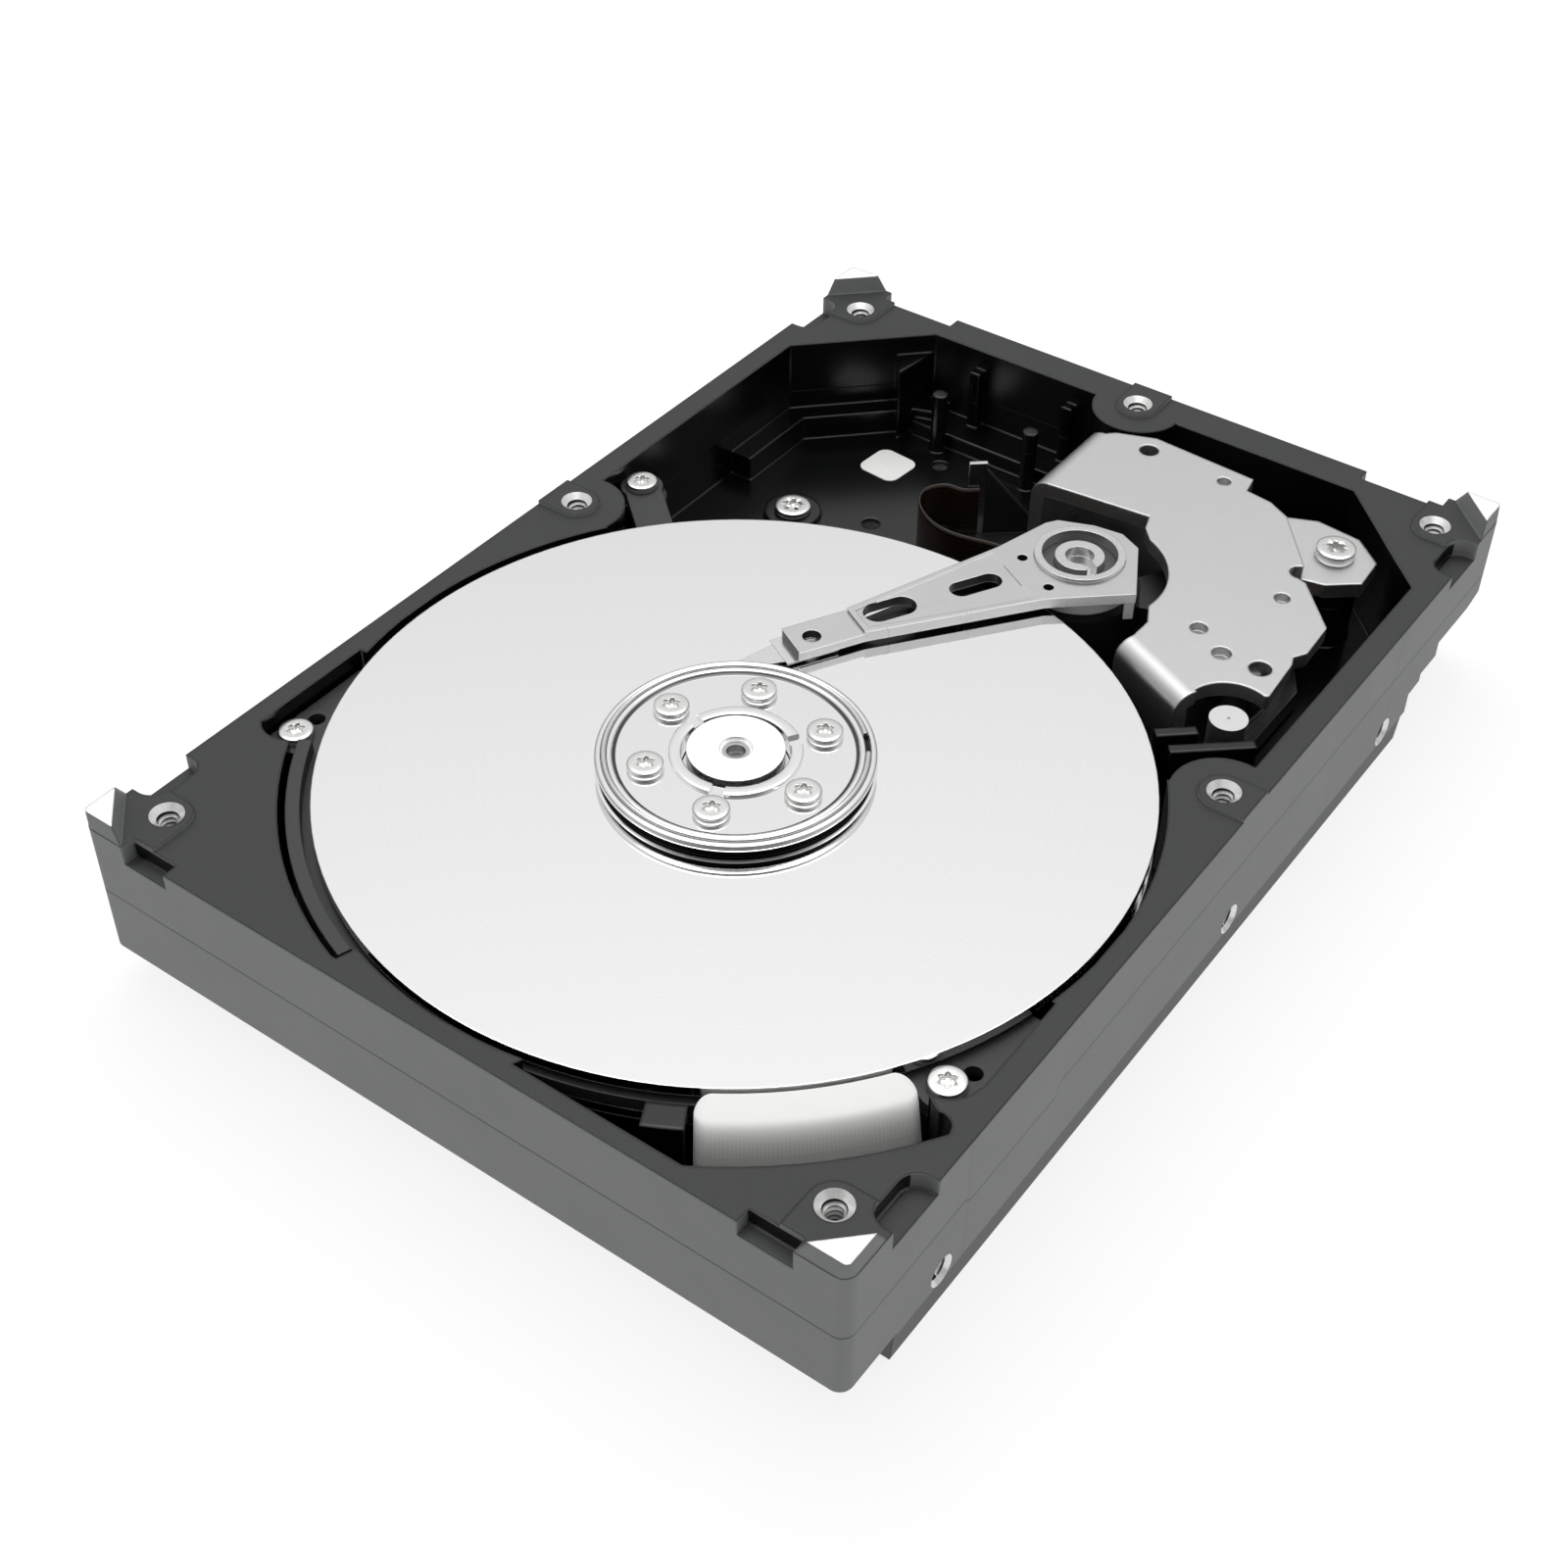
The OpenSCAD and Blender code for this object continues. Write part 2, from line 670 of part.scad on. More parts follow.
module casting_holes() {
    hole_r = screw_r + screw_gap;
    dimple_r = 1.2;
    four_corners() at(corner_hole) cover_hole();
    both_sides() at(mid_hole) cover_hole();
    at(rear_hole) cover_hole();
    both_sides() {
        for (y = [side_hole_rear, side_hole_mid, side_hole_rear + side_hole_pitch])
            translate([body_w / 2, body_l / 2 - y, side_hole_z]) rotate([0, 90, 0])
                tapped_hole(tap_r, tap_mouth_r, side_hole_depth);
        for (y = [base_hole_rear, base_hole_rear + base_hole_pitch])
            translate([base_hole_span / 2, body_l / 2 - y, 0]) rotate([180, 0, 0])
                tapped_hole(tap_r, tap_mouth_r, base_hole_depth);
    }
    for (lug = lugs) peg(spindle + lug, damper_z - screw_len - tip_gap, damper_z + cut, hole_r);
    peg(floor_screw_at, floor_screw_z - floor_screw_len - tip_gap, floor_screw_z + cut, hole_r);
    peg(pivot + ear_screw_at, ear_bottom - screw_len - tip_gap, ear_bottom + cut, hole_r);
    board_places() peg([0, 0], board_top - cut, board_top + board_screw_len + tip_gap, hole_r);
    peg(spindle, rail_h - cut, stator_bottom + cut, sleeve_r + fit);
    peg(pivot, floor_top - root_depth, floor_top + pivot_seat + cut, pivot_shaft_r + fit);
    peg(pivot + pin_at, floor_top - root_depth, floor_top + 2 + cut, pin_r + fit);
    for (p = [[8, -10], [8, -27.5]])
        peg([-bay_x + bay_cut, bay_y] + p, floor_top - dimple_r, floor_top + dimple_r, dimple_r);
}

module cover_hole() {
    translate([0, 0, pad_top]) tapped_hole(cover_hole_r, cover_mouth_r, cover_hole_depth);
}

module base_casting() {
    color("#3d3f3e") difference() {
        union() {
            difference() {
                slab(rail_h, rim_top) outer_plan();
                slab(floor_top, rim_top + cut) cavity_plan();
            }
            slab(rim_top - cut, pad_top) difference() {
                pads_plan();
                cavity_plan();
            }
            four_corners() corner_post();
            both_sides() rail();
            floor_features();
            board_places() translate([0, 0, board_top]) cylinder(r = board_boss_r, h = board_gap + cut);
        }
        rim_notches();
        underside_cuts();
        casting_holes();
    }
}

// Air path

module disk_damper() {
    rim_r = pocket_r - 0.8;
    rim_in = bowl_r + 0.2;
    rim_from = 211;
    rim_to = 252;
    inner_edge = bowl_r - 0.5;
    color("#1c1d1d") at(spindle) {
        slab(damper_z, damper_top) difference() {
            union() {
                ring_sector(damper_in_r, inner_edge, 155, 345);
                ring_sector(damper_in_r, rim_r, rim_from, rim_to);
                ring_sector(inner_edge - 3, inner_edge, lug_angles[2] - 3, 156);
                for (i = [0, 1]) front_lug(lugs[i], lug_pocket_r - lug_gap, lug_pocket_run - 2 * lug_gap);
                translate(lugs[2]) circle(lug_r);
                bar_between(lugs[2], polar(inner_edge - 1.5, lug_angles[2]), 2 * lug_r - 0.8);
                for (p = spare_holes) {
                    translate(p) circle(spare_lug_r);
                    bar_between(p, 0.93 * p, 2 * spare_lug_r - 0.4);
                }
            }
            for (p = concat(lugs, spare_holes)) translate(p) circle(screw_r + screw_gap);
        }
        slab(damper_z, rim_top - 0.6) ring_sector(rim_in, rim_r, rim_from, rim_to);
    }
}

module damper_screws() {
    color("#c9cbcb") for (lug = lugs) at(spindle + lug) translate([0, 0, damper_top])
        screw(screw_head_r, screw_head_h, screw_r, damper_t + screw_len);
}

module floor_screw() {
    color("#c9cbcb") at(floor_screw_at) translate([0, 0, floor_screw_z])
        screw(big_head_r, screw_head_h, screw_r, floor_screw_len);
}

// Crowned pad standing on edge along an arc, leaning in at its top and drawn in at its ends
module recirculation_filter() {
    half = filter_t / 2;
    middle = (disk_top + floor_top) / 2;
    tall = (disk_top - floor_top) / 2;
    rings = 30;
    sides = 24;
    squareness = 0.35;
    flatness = 0.35;
    end_swell = 0.35;
    function soft(x, power) = sign(x) * pow(abs(x), power);
    function swell(i) = pow(1 - pow(abs(2 * i / rings - 1), 6), end_swell);
    function ring(i) = let (a = filter_from + filter_span * (i + 0.2) / (rings + 0.4), k = max(swell(i), 0.3))
        [for (j = [0:sides - 1]) let (
            b = 360 * j / sides,
            up = (0.75 + 0.25 * k) * soft(sin(b), squareness),
            r = filter_mid_r - filter_lean * up + half * k * soft(cos(b), flatness),
            z = middle + tall * up
        ) concat(spindle + polar(r, a), [z])];
    points = [for (i = [0:rings]) each ring(i)];
    skin = [for (i = [0:rings - 1], j = [0:sides - 1], half_face = [0, 1]) let (
        n = (j + 1) % sides, p = i * sides, q = p + sides
    ) half_face == 0 ? [p + j, q + n, q + j] : [p + j, p + n, q + n]];
    start = [for (j = [1:sides - 2]) [0, j + 1, j]];
    end = [for (j = [1:sides - 2]) let (p = rings * sides) [p, p + j, p + j + 1]];
    color("#d9ddd9") polyhedron(points, concat(skin, start, end));
}

module floor_label() {
    label = 6.4;
    color("#f0f0ee") at([-bay_x + bay_cut + 2, bay_y - 14.4]) rotate(-5)
        slab(floor_top, floor_top + 0.12) round_rect(label, label, 1.5);
}

// Spindle motor, fixed half

module bearing_sleeve() {
    top = motor_top + 1.2;
    color("#8d8b84") at(spindle) difference() {
        translate([0, 0, rail_h]) cylinder(r = sleeve_r, h = top - rail_h);
        translate([0, 0, rail_h - cut]) cylinder(r = shaft_r + shaft_gap, h = top - rail_h + 2 * cut);
        translate([0, 0, rail_h - cut]) cylinder(r = shaft_r + 1.5, h = thrust_t + cut);
    }
}

module thrust_plate() {
    color("#a9abac") at(spindle) translate([0, 0, rail_h]) cylinder(r = shaft_r + 1.5 - fit, h = thrust_t);
}

tooth_r = rotor_r - skirt_t - rotor_magnet_t - air_gap;
stator_bottom = floor_top + stator_seat;
yoke_ring_r = sleeve_r + 1.8;

module stator_core() {
    shoe_t = 1;
    shoe_w = tooth_w + 2 * winding_t;
    color("#6f7173") at(spindle) slab(stator_bottom, stator_bottom + stator_t) difference() {
        union() {
            circle(yoke_ring_r);
            for (i = [0:tooth_count - 1]) rotate(360 * i / tooth_count) {
                translate([0, -tooth_w / 2]) square([tooth_r - shoe_t / 2, tooth_w]);
                intersection() {
                    ring_sector(tooth_r - shoe_t, tooth_r, -40, 40);
                    translate([0, -shoe_w / 2]) square([tooth_r + cut, shoe_w]);
                }
            }
        }
        circle(sleeve_r + fit);
    }
}

module stator_windings() {
    from = yoke_ring_r + 0.2;
    to = tooth_r - 1.2;
    color("#b0703a") at(spindle) for (i = [0:tooth_count - 1]) rotate(360 * i / tooth_count)
        translate([from, 0, stator_bottom + stator_t / 2]) rotate([90, 0, 90])
            linear_extrude(to - from) difference() {
                round_rect(tooth_w + 2 * winding_t, stator_t + 2 * winding_t, winding_t);
                square([tooth_w + 2 * fit, stator_t + 2 * fit], center = true);
            }
}

// Spindle motor, turning half

module rotor_hub() {
    recess_r = sleeve_r + 0.4;
    recess_top = motor_top + 1.7;
    boss_top = disk_top + hub_boss_rise;
    color("#c4c6c7") at(spindle) difference() {
        union() {
            translate([0, 0, motor_top]) cylinder(r = rotor_r, h = low_bottom - motor_top);
            translate([0, 0, motor_top]) cylinder(r = disk_bore_r - fit, h = hub_top - motor_top);
            translate([0, 0, hub_top - cut]) cylinder(r = hub_boss_r, h = boss_top - hub_top + cut);
            slab(rotor_bottom, motor_top + cut) difference() {
                circle(rotor_r);
                circle(rotor_r - skirt_t);
            }
        }
        translate([0, 0, motor_top - cut]) cylinder(r = recess_r, h = recess_top - motor_top + cut);
        translate([0, 0, motor_top - cut]) cylinder(r = shaft_r + fit, h = shaft_top - motor_top + cut);
        translate([0, 0, boss_top - 1.6]) cylinder(r = 1.1, h = 1.6 + cut);
        translate([0, 0, boss_top - 0.5]) cylinder(r = 1.9, h = 0.5 + cut);
        clamp_screw_places() peg([0, 0], hub_top - screw_len, hub_top + cut, screw_r + screw_gap);
    }
}
shaft_top = hub_top - 1.2;

module clamp_screw_places() {
    for (i = [0:clamp_screw_count - 1])
        rotate(clamp_screw_turn + 360 * i / clamp_screw_count)
            translate([clamp_screw_ring, 0, 0]) children();
}

module spindle_shaft() {
    bottom = rail_h + thrust_t + 0.05;
    color("#d0d2d3") at(spindle) translate([0, 0, bottom]) cylinder(r = shaft_r, h = shaft_top - bottom);
}

module rotor_magnet() {
    outer = rotor_r - skirt_t;
    color("#4f5154") at(spindle) slab(rotor_bottom + 0.2, motor_top - 0.2) difference() {
        circle(outer - fit);
        circle(outer - rotor_magnet_t);
    }
}

module platter(top) {
    at(spindle) slab(top - disk_t, top) difference() {
        circle(disk_r, $fn = 180);
        circle(disk_bore_r);
    }
}

module lower_platter() {
    color("#e2e3e4") platter(low_top);
}

module upper_platter() {
    color("#e2e3e4") platter(disk_top);
}

module platter_spacer() {
    color("#b9bbbc") at(spindle) slab(low_top, disk_bottom) difference() {
        circle(clamp_r - 0.1);
        circle(disk_bore_r);
    }
}

wire_ring_r = clamp_r - bead_w / 2;

module disk_clamp() {
    foot = 0.25;
    neck_top = clamp_t - 0.7;
    bead_under = clamp_t - 0.4;
    bead_in = clamp_r - bead_w;
    groove_half = wire_t / 2 + fit;
    slot_w = 1.6;
    color("#d6d8d9") at(spindle) difference() {
        translate([0, 0, disk_top]) rotate_extrude() polygon([
            [clamp_bore_r, 0], [clamp_r, 0], [clamp_r - neck_depth, foot], [clamp_r - neck_depth, neck_top],
            [clamp_r, bead_under], [clamp_r, clamp_t + bead_rise - 0.2], [clamp_r - 0.2, clamp_t + bead_rise],
            [bead_in + 0.2, clamp_t + bead_rise], [bead_in, clamp_t],
            [clamp_bore_r + collar_w, clamp_t], [clamp_bore_r + collar_w, clamp_t + bead_rise],
            [clamp_bore_r, clamp_t + bead_rise]
        ]);
        translate([0, 0, bead_top - groove_half]) linear_extrude(groove_half + cut) difference() {
            circle(wire_ring_r + groove_half);
            circle(wire_ring_r - groove_half);
        }
        clamp_screw_places() peg([0, 0], disk_top - cut, bead_top + cut, screw_r + screw_gap);
        for (i = [0:2]) rotate(50 + 120 * i) translate([clamp_bore_r - cut, -slot_w / 2, web_top])
            cube([collar_w + 2 * cut, slot_w, bead_rise + cut]);
    }
}

module clamp_screws() {
    color("#cfd1d2") at(spindle) clamp_screw_places() translate([0, 0, web_top])
        screw(screw_head_r, screw_head_h, screw_r, screw_len + clamp_t - tip_gap);
}

module balance_ring() {
    split = 12;
    color("#bfc1c2") at(spindle) translate([0, 0, bead_top]) rotate(split / 2 + 40)
        rotate_extrude(angle = 360 - split) translate([wire_ring_r, 0]) circle(wire_t / 2, $fn = 16);
}

// Voice coil motor, fixed half, drawn from the pivot

pin_at = [28.5, -13.9];
ear_screw_at = [23.9, 23.9];
ear_boss_r = 3.6;
ear_bottom = yoke_under - yoke_t;
yoke_feet = [[-9, 20], [14.5, 19], [25.5, 2], [18.5, -9.5]];
pin_space_r = pin_r + 3;
block_space_r = 11.2;
// Ends of the two bend lines of the top plate
side_bend = [[-12.3, 13.2], [-12.3, 28]];
front_bend = [[23.4, -13.4], [12.4, -8.1]];

module yoke_clearances() {
    circle(block_space_r);
    translate(pin_at) circle(pin_space_r);
}

// Outline shared by both plates, from the side bend round the outside to the front bend
outer_edge = [
    [-11.2, 29.1], [-6.1, 31.1], [8.8, 30.2], [9.3, 27.4], [13, 26.9], [16.2, 25.2], [22.7, 17],
    [22.1, 14.5], [24.5, 13.8], [30.6, 7.1], [30.9, 1.3], [29.9, -0.4], [30.4, -1.7], [30.9, -8.7]
];
inner_edge = [[12.5, -4.7], [11, -1.8], [10.6, 3.5], [2.7, 12.2], [1.9, 14.7]];

// Bent leg from a bend line a-b down to the bottom plate, outward to the right of a-b
module bent_leg(a, b) {
    d = b - a;
    drop = yoke_top - yoke_low_top;
    root = 0.5;
    translate([a[0], a[1], yoke_top]) rotate(atan2(d[1], d[0])) rotate([90, 0, 90])
        linear_extrude(norm(d)) {
            translate([0, -bend_r]) intersection() {
                difference() {
                    circle(bend_r);
                    circle(bend_r - yoke_t);
                }
                translate([-2 * bend_r, 0]) square(2 * bend_r);
            }
            translate([-bend_r, -drop]) square([yoke_t, drop - bend_r]);
            translate([0, -yoke_t]) square([root, yoke_t]);
        }
}

module yoke_top_plate() {
    ear_root = [[14.9, 24.7], [16, 25.2], [22.6, 16.9], [22.2, 16.7]];
    ear = [
        ear_root[0], [15.3, 27.9], [18.9, 29.5], [25, 28.9],
        [29, 25.5], [29.3, 20.5], [25.7, 17.5], ear_root[3]
    ];
    through_holes = [[-5.6, 28, 1.3], [27.7, -4.7, 1.4]];
    dimples = [[5.9, 27.5, 0.9], [23.5, 9.3, 1], [18.1, -2.1, 1.1], [22.6, -4.8, 1.2]];
    dimple_depth = 1.2;
    notch = [22.9, 15.4];
    notch_r = 1.3;
    color("#b4b5b5") at(pivot) difference() {
        union() {
            slab(yoke_under, yoke_top) difference() {
                polygon(concat(side_bend, outer_edge, front_bend, inner_edge));
                yoke_clearances();
                translate(notch) circle(notch_r);
            }
            bent_leg(side_bend[1], side_bend[0]);
            bent_leg(front_bend[1], front_bend[0]);
            slab(ear_bottom, yoke_under) polygon(ear);
            slab(ear_bottom, yoke_top) polygon(ear_root);
        }
        for (h = through_holes) peg(h, yoke_under - cut, yoke_top + cut, h[2]);
        for (h = dimples) peg(h, yoke_top - dimple_depth, yoke_top + cut, h[2]);
        peg(ear_screw_at, ear_bottom - cut, yoke_under + cut, screw_r + screw_gap);
    }
}

module yoke_bottom_plate() {
    side_face = [[-bend_r, 0], [-bend_r, 0]];
    along = (front_bend[0] - front_bend[1]) / norm(front_bend[0] - front_bend[1]);
    outward = bend_r * [along[1], -along[0]];
    color("#8f9091") at(pivot) slab(yoke_low, yoke_low_top) difference() {
        polygon(concat(
            side_bend + side_face, [[8.8, 28.6], [22.7, 17], [28.6, 7.1], [28.6, -8.7]],
            [front_bend[0] + outward, front_bend[1] + outward], inner_edge
        ));
        yoke_clearances();
    }
}

module magnet_plan() {
    ring_sector(coil_in_r + 0.4, coil_out_r - 0.9, magnet_from, magnet_to);
}

module bottom_magnet() {
    color("#9b9da0") at(pivot) slab(yoke_low_top, low_magnet_top) magnet_plan();
}

module top_magnet() {
    color("#9b9da0") at(pivot) slab(yoke_under - magnet_t, yoke_under) magnet_plan();
}

module yoke_screw() {
    color("#c9cbcb") at(pivot + ear_screw_at) translate([0, 0, yoke_under])
        screw(big_head_r, 1.4, screw_r, yoke_t + screw_len);
}

module locating_pin() {
    color("#dcdddd") peg(pivot + pin_at, floor_top - root_depth, yoke_top - 1, pin_r);
}

// Stops that the moulded fork meets just past each end of its swing
stop_ring_r = coil_out_r - stop_r;
stop_turn = asin((stop_r + 0.35) / stop_ring_r);

module crash_stop(angle) {
    color("#2a2b2c") peg(pivot + polar(stop_ring_r, angle), yoke_low_top, yoke_under, stop_r);
}

module inner_crash_stop() {
    crash_stop(coil_rest + fork_half + stop_turn);
}

module outer_crash_stop() {
    crash_stop(coil_rest - swing - fork_half - stop_turn);
}

// Actuator, drawn with its arms along +X and turned to its rest angle

module in_arm_frame() {
    at(pivot) rotate(arm_rest) children();
}

neck_at = 31.2;
block_corner = [-2.25, 9.7];
arm_root_half = 5.9;
arm_root = 8.4;

module arm_plan() {
    polygon([
        [0, -arm_root_half], [arm_root, -arm_root_half], [neck_at, -arm_tip_half],
        [arm_reach, -arm_tip_half], [arm_reach, arm_tip_half],
        [neck_at, arm_tip_half], [arm_root, arm_root_half], [0, arm_root_half]
    ]);
}

module top_plate_plan() {
    arm_plan();
    polygon([
        [arm_root, arm_root_half], block_corner, [-7.5, 1.7], [-7.3, -1.7], [-5, -4.8],
        [-1.4, -7.75], [0.3, -7.9], [arm_root, -arm_root_half]
    ]);
}

module arm_openings() {
    translate([26.4, -0.4]) stadium(6.9, 3.6);
    translate([14.6, -0.3]) stadium(7, 2.9);
    translate([arm_reach - 2.7, 0.2]) circle(1.15);
}

module arm_block() {
    neck_wall = 1.1;
    panel_depth = 0.12;
    panel_set = 0.8;
    step_depth = 0.3;
    small_hole_r = 0.65;
    tab_size = [1.2, 0.4];
    tab_drop = 4;
    color("#bcbdbd") in_arm_frame() difference() {
        union() {
            slab(arm_top_z, block_top) top_plate_plan();
            for (z = [arm_mid_z, arm_low_z]) slab(z, z + arm_t) arm_plan();
            slab(arm_mid_z, block_top) circle(pivot_sleeve_r + neck_wall);
            slab(barrel_bottom, arm_mid_z + arm_t) difference() {
                circle(barrel_r);
                translate([-barrel_r, -amp_flat - 2 * barrel_r]) square(2 * barrel_r);
            }
            slab(block_top - tab_drop, block_top) translate(block_corner - [0.2, 0.6]) rotate(-20)
                square(tab_size);
        }
        peg([0, 0], barrel_bottom - cut, block_top + cut, pivot_sleeve_r + fit);
        slab(barrel_bottom - cut, block_top + cut) arm_openings();
        slab(block_top - step_depth, block_top + cut) translate([neck_at, -arm_tip_half - cut])
            square([arm_reach, 2 * arm_tip_half + 2 * cut]);
        slab(block_top - panel_depth, block_top + cut) polygon([
            [arm_root + 1.2, panel_set - arm_root_half], [neck_at - panel_set, panel_set - arm_tip_half],
            [neck_at - panel_set, arm_tip_half - panel_set], [arm_root + 1.2, arm_root_half - panel_set]
        ]);
        for (p = [[6.7, -2.64], [6.8, 3.98]]) peg(p, arm_top_z - cut, block_top + cut, small_hole_r);
    }
}

pivot_sleeve_in = pivot_sleeve_r - pivot_sleeve_wall;
shaft_flange_top = floor_top + pivot_seat + 0.8;
pivot_sleeve_bottom = barrel_bottom - 0.3;

module pivot_sleeve() {
    color("#cfd0d1") at(pivot) slab(pivot_sleeve_bottom, block_top + pivot_sleeve_rise) difference() {
        circle(pivot_sleeve_r);
        circle(pivot_sleeve_in);
    }
}

module pivot_bearing(z) {
    color("#b5b7b8") at(pivot) slab(z, z + bearing_h) difference() {
        circle(pivot_sleeve_in - fit);
        circle(pivot_shaft_r + pivot_gap);
    }
}

module upper_pivot_bearing() {
    pivot_bearing(block_top - 1 - bearing_h);
}

module lower_pivot_bearing() {
    pivot_bearing(pivot_sleeve_bottom + 0.4);
}

module pivot_shaft() {
    slot_w = 1.4;
    slot_depth = 1;
    well_depth = 1.4;
    well_r = pivot_shaft_r - 1.3;
    seat = floor_top + pivot_seat;
    top = block_top + 0.1;
    color("#c6c8c9") at(pivot) difference() {
        union() {
            peg([0, 0], floor_top - root_depth, top, pivot_shaft_r);
            peg([0, 0], seat, shaft_flange_top, pivot_sleeve_in - 0.3);
        }
        peg([0, 0], top - well_depth, top + cut, well_r);
        rotate(arm_rest + 90) translate([0, -slot_w / 2, top - slot_depth])
            cube([2 * pivot_shaft_r, slot_w, slot_depth + cut]);
    }
}

module coil_fork() {
    color("#24262a") in_arm_frame() rotate(coil_turn) slab(coil_bottom + 0.2, coil_top - 0.2) difference() {
        ring_sector(barrel_r + fit, fork_out_r, -fork_half, fork_half);
        ring_sector(coil_in_r, coil_out_r, -coil_half, coil_half);
    }
}

module voice_coil() {
    side_turn = 8.5;
    color("#a8612c") in_arm_frame() rotate(coil_turn) slab(coil_bottom, coil_top) difference() {
        ring_sector(coil_in_r + fit, coil_out_r - fit, 0.1 - coil_half, coil_half - 0.1);
        ring_sector(coil_in_r + coil_w, coil_out_r - coil_w, side_turn - coil_half, coil_half - side_turn);
    }
}

module amplifier_board() {
    color("#4a3324") in_arm_frame() slab(barrel_bottom + 0.2, arm_mid_z + arm_t)
        translate([-amp_half, -amp_flat - amp_t]) square([2 * amp_half, amp_t]);
}

// Heads: above and below the upper platter, then above and below the lower one

function head_face(i) = [disk_top, disk_bottom, low_top, low_bottom][i];
function arm_face(i) = [arm_top_z, arm_mid_z + arm_t, arm_mid_z, arm_low_z + arm_t][i];

// Frame of a head, with z measured from its platter face towards its arm
module at_head(i) {
    in_arm_frame() translate([0, 0, head_face(i)]) mirror([0, 0, i % 2]) children();
}

module head_suspension(i) {
    gap = abs(arm_face(i) - head_face(i));
    plate_from = arm_reach - 5.2;
    plate_to = arm_reach + 1.6;
    beam_half = 1.9;
    nose = 0.9;
    nose_half = 0.5;
    plate_half = arm_tip_half - 0.1;
    beam_z = fly_gap + slider_t;
    color("#c8c9c9") at_head(i) {
        slab(beam_z, gap) difference() {
            translate([plate_from, -plate_half]) square([plate_to - plate_from, 2 * plate_half]);
            translate([arm_reach - 2.7, 0]) circle(0.9);
        }
        slab(beam_z, beam_z + beam_t) polygon([
            [plate_to - 0.5, -beam_half], [head_reach + nose, -nose_half],
            [head_reach + nose, nose_half], [plate_to - 0.5, beam_half]
        ]);
    }
}

module head_slider(i) {
    slider = [1.2, 1];
    color("#2f3133") at_head(i) slab(fly_gap, fly_gap + slider_t)
        translate([head_reach, 0]) square(slider, center = true);
}

// Flex circuit

bracket_turn = 41;
blade_l = 2.4;
blade_t = 0.6;
foot_t = ribbon_lift - 0.1;
connector_size = [9, 4.5];
connector_shift = turned([4, 0], bracket_turn);

module in_bracket_frame() {
    at(bracket_at) rotate(bracket_turn) children();
}

module flex_bracket() {
    web_t = 1.2;
    web_l = 6.6;
    web_end = 3;
    color("#202122") in_bracket_frame() difference() {
        union() {
            slab(floor_top, floor_top + foot_t) translate([4, 0]) round_rect(12, 8, 1);
            translate([blade_l, web_t / 2, floor_top]) rotate([90, 0, 0]) linear_extrude(web_t)
                polygon([[fit, 0], [web_l, 0], [web_l, web_end], [fit, blade_h - 1]]);
        }
        slab(floor_top - cut, floor_top + foot_t + cut) translate([-fit, -blade_t / 2 - fit])
            square([blade_l + 2 * fit, blade_t + 2 * fit]);
    }
}

module flex_stiffener() {
    color("#c3c5c6") in_bracket_frame() slab(floor_top, floor_top + blade_h)
        translate([0, -blade_t / 2]) square([blade_l, blade_t]);
}

module flex_connector() {
    color("#26282a") at(bracket_at + connector_shift) slab(board_top, floor_top)
        round_rect(connector_size[0], connector_size[1], 0.6);
}

function catmull(a, b, c, d, t) =
    0.5 * (2 * b + (c - a) * t + (2 * a - 5 * b + 4 * c - d) * t * t + (3 * b - a - 3 * c + d) * t * t * t);
function smooth(p, steps) = let (last = len(p) - 1) concat(
    [for (i = [0:last - 1], s = [0:steps - 1])
        catmull(p[max(i - 1, 0)], p[i], p[i + 1], p[min(i + 2, last)], s / steps)],
    [p[last]]
);
function across(p, i) = let (d = p[min(i + 1, len(p) - 1)] - p[max(i - 1, 0)]) [-d[1], d[0]] / norm(d);
function beside(p, off) = [for (i = [0:len(p) - 1]) p[i] + off * across(p, i)];
function backwards(p) = [for (i = [len(p) - 1:-1:0]) p[i]];

module flex_cable() {
    start = bracket_at - pivot + turned([1.5, -blade_t / 2 - ribbon_t], bracket_turn);
    end = turned([-1.5, -amp_flat - amp_t - ribbon_t], arm_rest);
    path = smooth(concat([start], ribbon_route, [end]), ribbon_steps);
    bottom = floor_top + ribbon_lift;
    color("#5a3b22") at(pivot) slab(bottom, bottom + ribbon_h)
        polygon(concat(beside(path, ribbon_t / 2), backwards(beside(path, -ribbon_t / 2))));
}

// Electronics under the floor

board_half = body_w / 2 - rail_w - board_side_gap;
plug_set = 0.3;
plug_z = 0.9;
plug_back = body_l / 2 - plug_set - plug_d;
board_front = body_l / 2 - board_from;
board_screw_len = 4;
boss_in = 5;
// Board bosses, by side and by distance from the connector end
board_bosses = [[1, 17], [1, 96], [-1, 28], [-1, 96]];

module board_places() {
    for (p = board_bosses) at([p[0] * (board_half - boss_in), body_l / 2 - p[1]]) children();
}

module board_plan() {
    ear = 10;
    polygon([
        [-board_half, board_front + ear], [ear - board_half, board_front], [board_half - ear, board_front],
        [board_half, board_front + ear], [board_half, plug_back], [-board_half, plug_back]
    ]);
}

module insulator_sheet() {
    edge = 0.8;
    color("#1f2021") slab(board_top, board_top + sheet_t) difference() {
        intersection() {
            board_plan();
            translate([edge - board_half, board_front + edge])
                square([2 * (board_half - edge), plug_back - board_front - 2 * edge]);
        }
        board_places() circle(board_boss_r + 0.5);
        translate(bracket_at + connector_shift) square(connector_size + [1, 1], center = true);
    }
}

module circuit_board() {
    color("#1d4a2e") slab(board_bottom, board_top) difference() {
        board_plan();
        board_places() circle(screw_r + screw_gap);
    }
}

module chip(p, size) {
    color("#1b1c1d") slab(board_bottom - size[2], board_bottom) translate(p)
        square([size[0], size[1]], center = true);
}

